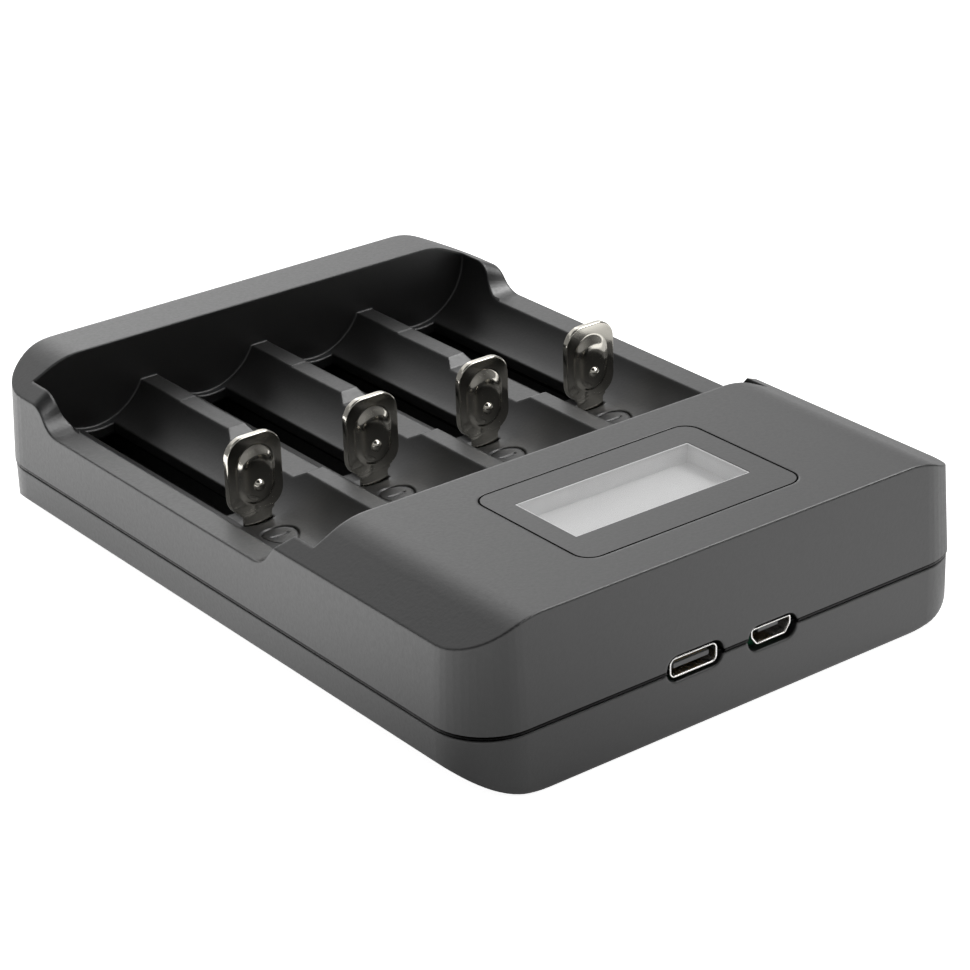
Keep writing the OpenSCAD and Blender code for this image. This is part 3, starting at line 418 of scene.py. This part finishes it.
# %% Make the softer and glossier finishes
def plain_skin(name, tone, rough, warmth=0.0, speck=400.0, depth_mm=0.01, **extra):
    """A skin with a little speckle in its tone and gloss, for boards, rubber, chips and glass."""
    finish, tree, output, place = new_finish(name)
    noise = add(tree, "ShaderNodeTexNoise", {"Vector": place}, Scale=speck, Detail=4.0)
    base = tone if isinstance(tone, tuple) else grey(tone, warmth)
    darker = tuple(c * 0.93 for c in base[:3]) + (1,)
    lighter = tuple(min(1, c * 1.07) for c in base[:3]) + (1,)
    colour = two_tones(tree, noise.outputs["Fac"], darker, lighter)
    gloss = span(tree, noise.outputs["Fac"], max(0.02, rough - 0.05), rough + 0.05)
    bump = add(tree, "ShaderNodeBump", {"Height": noise.outputs["Fac"]}, Strength=0.5, Distance=depth_mm * MM)
    add_skin(tree, output, colour, gloss, bump.outputs["Normal"], **extra)
    return finish


lcd_glass = plain_skin("lcd_glass", 206, 0.35, speck=60.0, depth_mm=0.0)
frame_plastic = plain_skin("display_frame_plastic", 212, 0.5)
frosted_side = plain_skin("frosted_side", 212, 0.5)
solder_mask = plain_skin("solder_mask", (0.02, 0.12, 0.06, 1), 0.3)
chip_epoxy = plain_skin("chip_epoxy", 38, 0.55)
tongue_plastic = plain_skin("tongue_plastic", 74, 0.4)
ferrite = plain_skin("ferrite", 52, 0.6, warmth=0.03)
can_foil = plain_skin("can_foil", 205, 0.3, Metallic=0.8)
diffuser = plain_skin("backlight_diffuser", 235, 0.5)
foot_rubber = plain_skin("foot_rubber", 34, 0.8, speck=1500.0, depth_mm=0.03)
window_pane = plain_skin("window_pane", 225, 0.06, speck=30.0, depth_mm=0.0, Alpha=0.10)
print("finishes so far:", len(bpy.data.materials))

# %% [markdown]
# ## Dressing the solids
# Every solid comes in with one plain material, named after its slot, such as housing or board. A table
# gives each slot its finish, so that no solid keeps the plain colour that it came with.

# %% Put each finish on its solids
finish_of = {
    "housing": housing_plastic, "panel": panel_plastic, "window": window_pane, "display_frame": frame_plastic,
    "lcd": lcd_glass, "backlight": diffuser, "board": solder_mask, "chip": chip_epoxy, "inductor": ferrite,
    "capacitor": can_foil, "nickel": nickel, "spring_steel": spring_steel, "socket_shell": socket_steel,
    "socket_tongue": tongue_plastic, "slider_shoe": shoe_plastic, "retainer": shoe_plastic,
    "foot": foot_rubber, "screw": screw_steel,
}
for solid in nodes.values():
    slot = solid.data.materials[0].name
    for i in range(len(solid.data.materials)):
        solid.data.materials[i] = finish_of[slot]
print("dressed:", len(nodes), "solids")

# %% [markdown]
# ## Helpers for modelled pieces
# The finer pieces are made of closed loops of points: a rounded rectangle that is set in step by step, or
# an outline that runs back into a socket. A loft joins such loops to a skin and closes both ends. Sizes are
# typed in millimetres, the way the drawing has them, and turned into metres once, when the mesh is made.

# %% Write the loft helpers
def turns(degrees):
    return [math.radians(a) for a in degrees]


def loop_points(width, height, radius, steps=8):
    """Points round a rounded rectangle, always the same number."""
    points = []
    for sx, sz, start in ((1, 1, 0), (-1, 1, 90), (-1, -1, 180), (1, -1, 270)):
        for k in range(steps + 1):
            turn = math.radians(start + 90 * k / steps)
            points.append((sx * (width / 2 - radius) + radius * math.cos(turn),
                           sz * (height / 2 - radius) + radius * math.sin(turn)))
    return points


def skin_between(mesh, rings):
    """Faces between each ring of corners and the next."""
    for a, b in zip(rings, rings[1:]):
        for k in range(len(a)):
            j = (k + 1) % len(a)
            mesh.faces.new((a[k], a[j], b[j], b[k]))


def loft(mesh, loops):
    """Skins a list of equal loops of 3-D points and closes the first and the last."""
    rings = [[mesh.verts.new(p) for p in loop] for loop in loops]
    skin_between(mesh, rings)
    mesh.faces.new(list(reversed(rings[0])))
    mesh.faces.new(rings[-1])


print("a loop has", len(loop_points(10, 13, 3.3)), "points")

# %% [markdown]
# ## From loops to a finished piece
# A mesh is only finished when its doubles are merged and its faces point outwards. Flat shading would show
# every facet of a round, so faces are shaded smooth, and edges stay sharp above a crease angle.

# %% Write the finishing helpers
MERGE_MM = 0.002


def smooth_below(mesh, crease):
    """Smooth shading, with sharp edges where two faces meet at more than the crease angle."""
    for edge in mesh.edges:
        edge.smooth = len(edge.link_faces) == 2 and edge.calc_face_angle(0) < math.radians(crease)
    for face in mesh.faces:
        face.smooth = True


def new_piece(name, mesh, finishes, crease=35):
    """Turns a bmesh in millimetres into an object in metres."""
    bmesh.ops.remove_doubles(mesh, verts=mesh.verts, dist=MERGE_MM)
    bmesh.ops.dissolve_degenerate(mesh, dist=MERGE_MM, edges=mesh.edges)
    bmesh.ops.recalc_face_normals(mesh, faces=mesh.faces)
    smooth_below(mesh, crease)
    bmesh.ops.scale(mesh, vec=(MM, MM, MM), verts=mesh.verts)
    data = bpy.data.meshes.new(name)
    mesh.to_mesh(data)
    mesh.free()
    for finish in finishes:
        data.materials.append(finish)
    piece = bpy.data.objects.new(name, data)
    bpy.context.scene.collection.objects.link(piece)
    return piece


print("doubles closer than", MERGE_MM, "mm are merged")

# %% [markdown]
# ## Contact plates
# Each slider carries a plate pressed from nickel-plated strip. Its rim is turned back all round, an oval is
# raised in its face, and a small ball in the oval touches the cell. A lathe can't make an oval, so the
# plate is a loft: loops that run from the middle of the oval out to the turned-back rim, then the same way
# back behind it, at the thickness of the sheet.

# %% Name the sizes of a contact plate
BAY = 22.12  # from one bay to the next
PLATE_Y = 7.4  # front face of the plates at rest
PLATE_W, PLATE_H, PLATE_R = 10.0, 13.0, 3.3
PLATE_MID = PART_Z + 5.2 + PLATE_H / 2
SHEET, FLANGE, BEND = 0.5, 1.1, 0.25
BOSS_W, BOSS_H, BOSS_DROP = 7.3, 10.2, 0.2
# how far in from the edge of the oval, and how high it stands there
BOSS_STEPS = [
    (3.45, 0.9), (3.0, 0.895), (2.5, 0.88), (2.1, 0.855), (1.8, 0.82), (1.5, 0.76), (1.25, 0.68),
    (1.0, 0.57), (0.78, 0.43), (0.6, 0.3), (0.42, 0.17), (0.25, 0.07), (0.1, 0.015), (-0.05, 0.0),
]
# how far in from the rim, and how far behind the face
BEND_STEPS = [(BEND * (1 - math.cos(t)), BEND * (1 - math.sin(t))) for t in turns(range(90, -1, -15))]
RIM_STEPS = [(0, FLANGE - 0.12), (0.12, FLANGE), (SHEET - 0.1, FLANGE), (SHEET, FLANGE - 0.1)]
INNER_STEPS = [(SHEET, SHEET + 0.2), (SHEET + 0.06, SHEET + 0.06), (SHEET + 0.2, SHEET)]
BALL_R, BALL_AT = 1.0, (PLATE_Y - 0.7, PART_Z + 10)
loops_in_all = 2 * len(BOSS_STEPS) - 1 + len(BEND_STEPS + RIM_STEPS + INNER_STEPS)
print("a plate is lofted through", loops_in_all, "loops")

# %% [markdown]
# ## Pressing the plate
# Each bay has the same plate at its own X. The ball overlaps the oval, as a pressed pip would stand in it.
# The stem is a flat outline, drawn out to the thickness of the sheet, that goes down into the slot.

# %% Write the plate's parts
def bay_x(i):
    return (i - 2.5) * BAY


def plate_loop(x, inset, y):
    outline = loop_points(PLATE_W - 2 * inset, PLATE_H - 2 * inset, PLATE_R - inset)
    return [(x + u, PLATE_Y + y, PLATE_MID + v) for u, v in outline]


def oval_loop(x, inset, y):
    """The flat of the oval sits low, so its upper slope is broad and its lower one steep."""
    outline = loop_points(BOSS_W - 2 * inset, BOSS_H - 2 * inset, BOSS_W / 2 - inset)
    return [(x + u, PLATE_Y + y, PLATE_MID - BOSS_DROP - 0.2 * max(inset, 0) + v) for u, v in outline]


def contact_plate(x):
    """The pressed plate of one slider, with its ball."""
    mesh = bmesh.new()
    loops = [oval_loop(x, inset, -rise) for inset, rise in BOSS_STEPS]
    loops += [plate_loop(x, inset, y) for inset, y in BEND_STEPS + RIM_STEPS + INNER_STEPS]
    loops += [oval_loop(x, inset + 0.2, SHEET - rise) for inset, rise in reversed(BOSS_STEPS[1:])]
    loft(mesh, loops)
    ball = bmesh.ops.create_uvsphere(mesh, u_segments=28, v_segments=18, radius=BALL_R)["verts"]
    bmesh.ops.translate(mesh, vec=(x, *BALL_AT), verts=ball)
    return mesh


def add_stem(mesh, x):
    """A flat stem, as thick as the sheet, that widens a little where it leaves the rim."""
    half, low, high, flare = 2.55, PART_Z - 1.75, PLATE_MID - 5.9, 0.6
    foot = PLATE_MID - PLATE_H / 2 - flare
    side = [(half, low), (half, foot)]
    side += [(half + flare * (1 - math.cos(t)), foot + flare * math.sin(t)) for t in turns((20, 40, 60, 80))]
    side += [(half + flare - 0.1, high)]
    outline = side + [(-u, v) for u, v in reversed(side)]
    face = mesh.faces.new([mesh.verts.new((x + u, PLATE_Y + 0.02, v)) for u, v in outline])
    raised = bmesh.ops.extrude_face_region(mesh, geom=[face])
    moved = [v for v in raised["geom"] if isinstance(v, bmesh.types.BMVert)]
    bmesh.ops.translate(mesh, vec=(0, SHEET - 0.02, 0), verts=moved)


print("bays at X =", [round(bay_x(i), 2) for i in (1, 2, 3, 4)])

# %% [markdown]
# ## Four plates on four sliders
# Each plate takes the place of its plain solid and rides on its own slider, so it moves with it.

# %% Press the contact plates
for i in (1, 2, 3, 4):
    mesh = contact_plate(bay_x(i))
    add_stem(mesh, bay_x(i))
    plate = new_piece(f"pressed_plate_{i}", mesh, [nickel])
    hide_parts(f"contact_plate_{i}")
    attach(plate, f"slider_{i}")
print("pressed plates:", len(plate.data.polygons), "faces each")

# %% [markdown]
# ## Display window
# The real window is a clear moulding: its flat top is polished and its sides are frosted, so the cut
# through the panel shows as a pale band. The pane is one closed box, and a thin frosted collar lines the
# cut from the top of the panel down to the display frame.

# %% Mould the window
WINDOW_X, WINDOW_Y, WINDOW_W, WINDOW_L = -0.4, PANEL_Y + 0.8, 33.1, 14.2
PANEL_T, TOP_Z = 0.6, PART_Z + 17.1
# how far in from the cut, and how far below the top of the deck
COLLAR_STEPS = [(0.04, -PANEL_T), (0.04, -0.08), (0.07, -0.05), (0.2, -0.05), (0.24, -0.08), (0.24, -PANEL_T)]
PANE_STEPS = [(0.25, 0.02 - PANEL_T), (0.25, -0.16)]


def box_loop(inset, z):
    outline = loop_points(WINDOW_W - 2 * inset, WINDOW_L - 2 * inset, 0.12, steps=2)
    return [(WINDOW_X + u, WINDOW_Y + v, z) for u, v in outline]


mesh = bmesh.new()
rings = [[mesh.verts.new(p) for p in box_loop(inset, TOP_Z + z)] for inset, z in COLLAR_STEPS]
skin_between(mesh, rings + rings[:1])
pane_start = len(mesh.faces)
loft(mesh, [box_loop(inset, TOP_Z + z) for inset, z in PANE_STEPS])
for k, face in enumerate(mesh.faces):
    face.material_index = 1 if k >= pane_start else 0
window = new_piece("moulded_window", mesh, [frosted_side, window_pane])
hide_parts("display_window")
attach(window, "charger")
print("window:", len(window.data.polygons), "faces")

# %% [markdown]
# ## Growing pieces with Geometry Nodes
# Screws, coils and rows of contact pads repeat, so each kind is one tree of geometry nodes with named
# sizes. A tree runs on a mesh that is nothing but points, and it stands one copy on each point.

# %% Write the tree helpers
def new_tree(name, sizes):
    """A geometry tree with one named input for each size, and its input and output nodes."""
    tree = bpy.data.node_groups.new(name, "GeometryNodeTree")
    tree.interface.new_socket("Geometry", in_out="INPUT", socket_type="NodeSocketGeometry")
    for size, value in sizes.items():
        kind = "NodeSocketInt" if isinstance(value, int) else "NodeSocketFloat"
        tree.interface.new_socket(size, in_out="INPUT", socket_type=kind)
    tree.interface.new_socket("Geometry", in_out="OUTPUT", socket_type="NodeSocketGeometry")
    return tree, tree.nodes.new("NodeGroupInput").outputs, tree.nodes.new("NodeGroupOutput")


def reckon(tree, operation, a, b):
    """One math node; a and b are sockets or plain numbers."""
    node = tree.nodes.new("ShaderNodeMath")
    node.operation = operation
    for k, value in enumerate((a, b)):
        if hasattr(value, "is_linked"):
            tree.links.new(value, node.inputs[k])
        else:
            node.inputs[k].default_value = value
    return node.outputs[0]


def vector_of(tree, **axes):
    return add(tree, "ShaderNodeCombineXYZ", axes).outputs[0]


def stand_copies(tree, given, output, shape, finish, turn_over=False):
    """Stands a shape on every point and closes the tree; screws get a turn each, from a fixed seed."""
    spin = add(tree, "FunctionNodeRandomValue", settings={"data_type": "FLOAT"}, Seed=7)
    spin.inputs["Max"].default_value = math.pi if turn_over else 0.0
    turn = vector_of(tree, Z=spin.outputs[1], **({"X": given["Turn Over"]} if turn_over else {}))
    copies = add(tree, "GeometryNodeInstanceOnPoints",
                 {"Points": given["Geometry"], "Instance": shape, "Rotation": turn})
    real = add(tree, "GeometryNodeRealizeInstances", {"Geometry": copies.outputs[0]})
    dressed = add(tree, "GeometryNodeSetMaterial", {"Geometry": real.outputs[0]}, Material=finish)
    tree.links.new(dressed.outputs[0], output.inputs["Geometry"])


print("tree helpers: new_tree, reckon, vector_of, stand_copies")

# %% [markdown]
# ## Keeping what has grown
# The sizes are set by each socket's own identifier, before the object is first evaluated. The evaluated
# result is kept as a plain mesh, its doubles are merged, its faces are turned outwards, and the modifier is
# taken off, because an export would lose what only a modifier makes.

# %% Write the growing helper
def grow(name, tree, points, sizes, crease=35):
    """Runs a tree on points in millimetres and keeps the result as a plain mesh that rides the charger."""
    seeds = bpy.data.meshes.new(name)
    seeds.from_pydata([Vector(p) * MM for p in points], [], [])
    piece = bpy.data.objects.new(name, seeds)
    bpy.context.scene.collection.objects.link(piece)
    modifier = piece.modifiers.new("grow", "NODES")
    modifier.node_group = tree
    for item in tree.interface.items_tree:
        if item.in_out == "INPUT" and item.name in sizes:
            value = sizes[item.name]
            is_length = isinstance(value, float) and item.name != "Turn Over"
            modifier[item.identifier] = value * MM if is_length else value
    evaluated = piece.evaluated_get(bpy.context.evaluated_depsgraph_get())
    result = bpy.data.meshes.new_from_object(evaluated)
    piece.modifiers.clear()
    piece.data = result
    mesh = bmesh.new()
    mesh.from_mesh(result)
    bmesh.ops.remove_doubles(mesh, verts=mesh.verts, dist=MERGE_MM * MM)
    bmesh.ops.recalc_face_normals(mesh, faces=mesh.faces)
    smooth_below(mesh, crease)
    mesh.to_mesh(result)
    mesh.free()
    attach(piece, "charger")
    print(name + ":", len(result.polygons), "faces")
    return piece


print("grown pieces ride the charger")

# %% [markdown]
# ## The body of a screw
# A real screw is turned and rolled: a pan head with a rounded rim, a cross pressed into it, a shank and a
# thread. The body is a grid with one row of corners, from the tip to the middle of the head, that is
# turned round the axis: the column gives the angle, and the row picks the radius and the height.

# %% Turn the body of a screw
SCREW_SIZES = {
    "Head Radius": 2.3, "Head Height": 1.6, "Shank Radius": 1.2, "Length": 12.2, "Thread": 0.2,
    "Thread Turns": 10, "Turn Over": 0.0,
}
ROUND = 32  # columns round the axis
HEAD_STEPS = [(1.0, -0.55), (0.95, -0.78), (0.85, -0.93), (0.7, -1.0)]  # shares of its radius and height


def screw_corners(tree, given, core):
    """A radius and a height for each corner, from the tip to the middle of the head."""
    head, height = given["Head Radius"], given["Head Height"]
    rim = [
        (reckon(tree, "MULTIPLY", head, wide), reckon(tree, "MULTIPLY", height, high))
        for wide, high in HEAD_STEPS
    ]
    return [
        (0.0, given["Length"]),
        (reckon(tree, "MULTIPLY", core, 0.6), given["Length"]),
        (core, reckon(tree, "SUBTRACT", given["Length"], core)),
        (core, 0.0),
        (head, 0.0),
        *rim,
        (0.0, reckon(tree, "MULTIPLY", height, -1.0)),
    ]


def pick_by_row(tree, row, values):
    """The value that belongs to a row; values are sockets or plain numbers."""
    pick = tree.nodes.new("GeometryNodeIndexSwitch")
    pick.data_type = "FLOAT"
    while len(pick.index_switch_items) < len(values):
        pick.index_switch_items.new()
    tree.links.new(row, pick.inputs["Index"])
    for k, value in enumerate(values):
        if hasattr(value, "is_linked"):
            tree.links.new(value, pick.inputs[k + 1])
        else:
            pick.inputs[k + 1].default_value = value
    return pick.outputs[0]


def turned_body(tree, given, core):
    """The closed body, with its corners turned round the axis."""
    corners = screw_corners(tree, given, core)
    grid = add(tree, "GeometryNodeMeshGrid", Vertices_X=ROUND + 1, Vertices_Y=len(corners))
    index = tree.nodes.new("GeometryNodeInputIndex").outputs[0]
    share = reckon(tree, "DIVIDE", reckon(tree, "ADD", index, 0.5), float(len(corners)))
    angle = reckon(tree, "MULTIPLY", reckon(tree, "FLOOR", share, 0.0), 2 * math.pi / ROUND)
    row = reckon(tree, "FLOORED_MODULO", index, float(len(corners)))
    radius, height = (pick_by_row(tree, row, values) for values in zip(*corners))
    at = vector_of(tree, X=reckon(tree, "MULTIPLY", radius, reckon(tree, "COSINE", angle, 0.0)),
                   Y=reckon(tree, "MULTIPLY", radius, reckon(tree, "SINE", angle, 0.0)), Z=height)
    turned = add(tree, "GeometryNodeSetPosition", {"Geometry": grid.outputs[0], "Position": at})
    return add(tree, "GeometryNodeMergeByDistance", {"Geometry": turned.outputs[0]}, Distance=1e-6).outputs[0]


print("a screw has", ROUND, "columns round its axis")

# %% [markdown]
# ## The cross and the thread
# Two thin boxes cut the cross out of the head. The thread is a wire with a square section, wound round the
# core of the shank, and it starts and ends a little way from the head and the tip.

# %% Cut the cross and wind the thread
CROSS_LONG, CROSS_THIN, CROSS_TALL = 1.2, 0.24, 1.2  # shares of the head's radius and height
THREAD_GAP = 0.0003  # metres of bare shank at each end


def cut_cross(tree, given, body):
    """The body with two crossed slots in its head."""
    cut = tree.nodes.new("GeometryNodeMeshBoolean")
    cut.operation = "DIFFERENCE"
    cut.solver = "EXACT"
    cut.inputs["Self Intersection"].default_value = True
    tree.links.new(body, cut.inputs["Mesh 1"])
    for x_share, y_share in ((CROSS_LONG, CROSS_THIN), (CROSS_THIN, CROSS_LONG)):
        size = vector_of(tree, X=reckon(tree, "MULTIPLY", given["Head Radius"], x_share),
                         Y=reckon(tree, "MULTIPLY", given["Head Radius"], y_share),
                         Z=reckon(tree, "MULTIPLY", given["Head Height"], CROSS_TALL))
        box = add(tree, "GeometryNodeMeshCube", {"Size": size})
        head_top = vector_of(tree, Z=reckon(tree, "MULTIPLY", given["Head Height"], -1.0))
        placed = add(tree, "GeometryNodeTransform", {"Geometry": box.outputs[0], "Translation": head_top})
        tree.links.new(placed.outputs[0], cut.inputs["Mesh 2"])
    return cut.outputs["Mesh"]


def wound_wire(tree, rounds, coil_radius, wire_radius, length, steps, sides):
    """A wire with a round or cornered section, wound evenly round the axis."""
    sizes = {"Rotations": rounds, "Start Radius": coil_radius, "End Radius": coil_radius, "Height": length}
    coil = add(tree, "GeometryNodeCurveSpiral", sizes, Resolution=steps)
    section = add(tree, "GeometryNodeCurvePrimitiveCircle", {"Radius": wire_radius}, Resolution=sides)
    return add(tree, "GeometryNodeCurveToMesh",
               {"Curve": coil.outputs[0], "Profile Curve": section.outputs[0]}, Fill_Caps=True).outputs[0]


def screw_thread(tree, given, core):
    """The thread round the core of the shank."""
    room = reckon(tree, "SUBTRACT", reckon(tree, "SUBTRACT", given["Length"], core), 2 * THREAD_GAP)
    wire = wound_wire(tree, given["Thread Turns"], core, given["Thread"], room, steps=20, sides=4)
    return add(tree, "GeometryNodeTransform", {"Geometry": wire}, Translation=(0, 0, THREAD_GAP)).outputs[0]


print("bare shank at each end:", THREAD_GAP / MM, "mm")

# %% [markdown]
# ## One tree for every screw
# Body, cross and thread are joined in one tree, and the tree stands a copy on each of its points.

# %% Build the screw tree
screw_tree, given, output = new_tree("screw", SCREW_SIZES)
core = reckon(screw_tree, "SUBTRACT", given["Shank Radius"], given["Thread"])
whole_screw = screw_tree.nodes.new("GeometryNodeJoinGeometry")
body = cut_cross(screw_tree, given, turned_body(screw_tree, given, core))
screw_tree.links.new(body, whole_screw.inputs[0])
screw_tree.links.new(screw_thread(screw_tree, given, core), whole_screw.inputs[0])
stand_copies(screw_tree, given, output, whole_screw.outputs[0], screw_steel, turn_over=True)
print("screw tree:", len(screw_tree.nodes), "nodes")

# %% [markdown]
# ## Driving the screws
# Four long screws join the housings from below, six hold the retainer, and four each hold the main board
# and the display board. The screws of the main board are driven from above, so they are turned over.

# %% Drive the screws
small = {"Head Radius": 1.7, "Head Height": 1.2, "Shank Radius": 0.9, "Thread": 0.15, "Turn Over": 0.0}
housing_at = [(-38.6, -56.2, 3.9), (38.6, -56.2, 3.9), (-BAY, 60.2, 3.9), (BAY, 60.2, 3.9)]
retainer_at = [(x, y, 6.1) for x in (-BAY, 0, BAY) for y in (4.4, 52.4)]
board_at = [(x, y, 9.25) for x in (-31, 31) for y in (-48.7, -29.7)]
display_at = [(x, PANEL_Y + y, 19.0) for x in (-23, 23) for y in (-9.8, 9.8)]
screws = {
    "housing_screws": (housing_at, SCREW_SIZES),
    "retainer_screws": (retainer_at, small | {"Length": 6.5, "Thread Turns": 7}),
    "board_screws": (board_at, small | {"Length": 5.0, "Thread Turns": 5, "Turn Over": math.pi}),
    "display_screws": (display_at, small | {"Length": 5.0, "Thread Turns": 5}),
}
for node, (points, sizes) in screws.items():
    piece = grow("turned_" + node, screw_tree, points, sizes)
    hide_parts(node)

# %% [markdown]
# ## Springs
# A tension spring pulls each slider towards the front. It lies under the floor of its cradle, between a
# post on the board and the shoe. It is one wire, wound evenly, so it is a spiral curve with a round
# section, laid down along Y. It keeps its rest length, because a solid spring can't stretch with a slider.

# %% Wind the springs
SPRING_SIZES = {"Coil Radius": 1.115, "Wire Radius": 0.2, "Length": 25.6, "Turns": 18}
SPRING_START = (-21.4, 10.625)
tree, given, output = new_tree("coil_spring", SPRING_SIZES)
wire = wound_wire(tree, given["Turns"], given["Coil Radius"], given["Wire Radius"], given["Length"],
                  steps=24, sides=8)
laid = add(tree, "GeometryNodeTransform", {"Geometry": wire}, Rotation=(-math.pi / 2, 0, 0))
stand_copies(tree, given, output, laid.outputs[0], spring_steel)
spring_at = [(bay_x(i), *SPRING_START) for i in (1, 2, 3, 4)]
springs = grow("wound_springs", tree, spring_at, SPRING_SIZES, crease=60)
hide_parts(*[f"tension_spring_{i}" for i in (1, 2, 3, 4)])

# %% [markdown]
# ## The USB-C shell
# The shell is deep-drawn: its wall is 0.3 mm thick and its mouth is rolled round. It is one loft that runs
# forward outside, turns over at the mouth and runs back inside.

# %% Draw the USB-C shell
FRONT_MOUTH = -65.75
C_MID, C_SIZE, C_R = (-8, PART_Z + 0.25), (8.94, 3.2), 1.05
C_LIP = 0.15  # radius of the rolled mouth


def c_loop(inset, y):
    outline = loop_points(C_SIZE[0] - 2 * inset, C_SIZE[1] - 2 * inset, C_R - inset)
    return [(C_MID[0] + u, FRONT_MOUTH + y, C_MID[1] + v) for u, v in outline]


mesh = bmesh.new()
outside, inside = [(0.1, 7.3), (0.0, 7.2)], [(0.3, 6.9), (0.4, 7.0)]
lip = [(C_LIP - C_LIP * math.cos(t), C_LIP - C_LIP * math.sin(t)) for t in turns(range(0, 181, 22))]
loft(mesh, [c_loop(inset, y) for inset, y in outside + lip + inside])
usb_c = new_piece("drawn_usb_c_shell", mesh, [socket_steel])
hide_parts("usb_c_shell")
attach(usb_c, "charger")
print("USB-C shell:", len(usb_c.data.polygons), "faces")

# %% [markdown]
# ## The micro-USB shell
# The older socket is folded from sheet, wide above and narrower below, with six rounded corners. Its shell
# is a loft like the other one, only round an outline with six sides.

# %% Fold the micro-USB shell
MICRO_X, FILLET = 6.8, 0.3
MICRO_LIP = 0.12  # radius of the rolled mouth


def micro_loop(swell, y):
    """The shell's six sides, with every corner rounded by three points."""
    top, low, side, foot = 1.25 + swell, -1.35 - swell, 3.75 + swell, 2.75 + swell / 2
    corners = [(side, top), (-side, top), (-side, -swell / 2), (-foot, low), (foot, low), (side, -swell / 2)]
    points = []
    for k, corner in enumerate(corners):
        here = Vector(corner)
        before, after = Vector(corners[k - 1]) - here, Vector(corners[(k + 1) % 6]) - here
        a, b = here + before.normalized() * FILLET, here + after.normalized() * FILLET
        points += [tuple(p) for p in (a, a * 0.25 + here * 0.5 + b * 0.25, b)]
    return [(MICRO_X + u, FRONT_MOUTH + y, PART_Z + v) for u, v in points]


mesh = bmesh.new()
outside, inside = [(-0.08, 5.6), (0, 5.5), (0, 0.6)], [(-0.24, 0.7), (-0.25, 5.3), (-0.33, 5.35)]
lip = [(MICRO_LIP * math.cos(t) - 0.03, MICRO_LIP - MICRO_LIP * math.sin(t)) for t in turns(range(0, 181, 30))]
loft(mesh, [micro_loop(swell, y) for swell, y in outside + lip + inside])
micro = new_piece("folded_micro_usb_shell", mesh, [socket_steel])
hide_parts("micro_usb_shell")
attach(micro, "charger")
print("micro-USB shell:", len(micro.data.polygons), "faces")

# %% [markdown]
# ## Contact pads
# The tongue of each socket carries a row of thin gold pads. They are flat boxes at an even pitch, so a
# small tree lays one row for each point: two rows on the USB-C tongue, one on the micro-USB tongue.

# %% Lay the gold pads
C_PADS = {"Count": 12, "Pitch": 0.5, "Pad Width": 0.28, "Pad Length": 3.4, "Pad Height": 0.04}
MICRO_PADS = {"Count": 5, "Pitch": 0.65, "Pad Width": 0.38, "Pad Length": 2.6, "Pad Height": 0.04}
# how far the middle of a row is behind the mouth, and how far above the middle of its socket
C_ROW, MICRO_ROW = (2.8, 0.355), (2.3, 0.095)
tree, given, output = new_tree("pad_row", C_PADS)
pad_size = vector_of(tree, X=given["Pad Width"], Y=given["Pad Length"], Z=given["Pad Height"])
pad = add(tree, "GeometryNodeMeshCube", {"Size": pad_size})
offset = vector_of(tree, X=given["Pitch"])
row = add(tree, "GeometryNodeMeshLine", {"Count": given["Count"], "Offset": offset})
half_pitch = reckon(tree, "MULTIPLY", given["Pitch"], -0.5)
back_by = reckon(tree, "MULTIPLY", half_pitch, reckon(tree, "SUBTRACT", given["Count"], 1.0))
half_row = vector_of(tree, X=back_by)
middle = add(tree, "GeometryNodeTransform", {"Geometry": row.outputs[0], "Translation": half_row})
pads = add(tree, "GeometryNodeInstanceOnPoints", {"Points": middle.outputs[0], "Instance": pad.outputs[0]})
stand_copies(tree, given, output, pads.outputs[0], gold)
c_rows = [(C_MID[0], FRONT_MOUTH + C_ROW[0], C_MID[1] + side * C_ROW[1]) for side in (-1, 1)]
micro_rows = [(MICRO_X, FRONT_MOUTH + MICRO_ROW[0], PART_Z + MICRO_ROW[1])]
for piece in (grow("usb_c_pads", tree, c_rows, C_PADS), grow("micro_usb_pads", tree, micro_rows, MICRO_PADS)):
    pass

# %% [markdown]
# ## Bringing the scene up to date
# The view layer is updated once more, so that every piece that was moved or grown stands where it was put.

# %% Update the scene
bpy.context.view_layer.update()
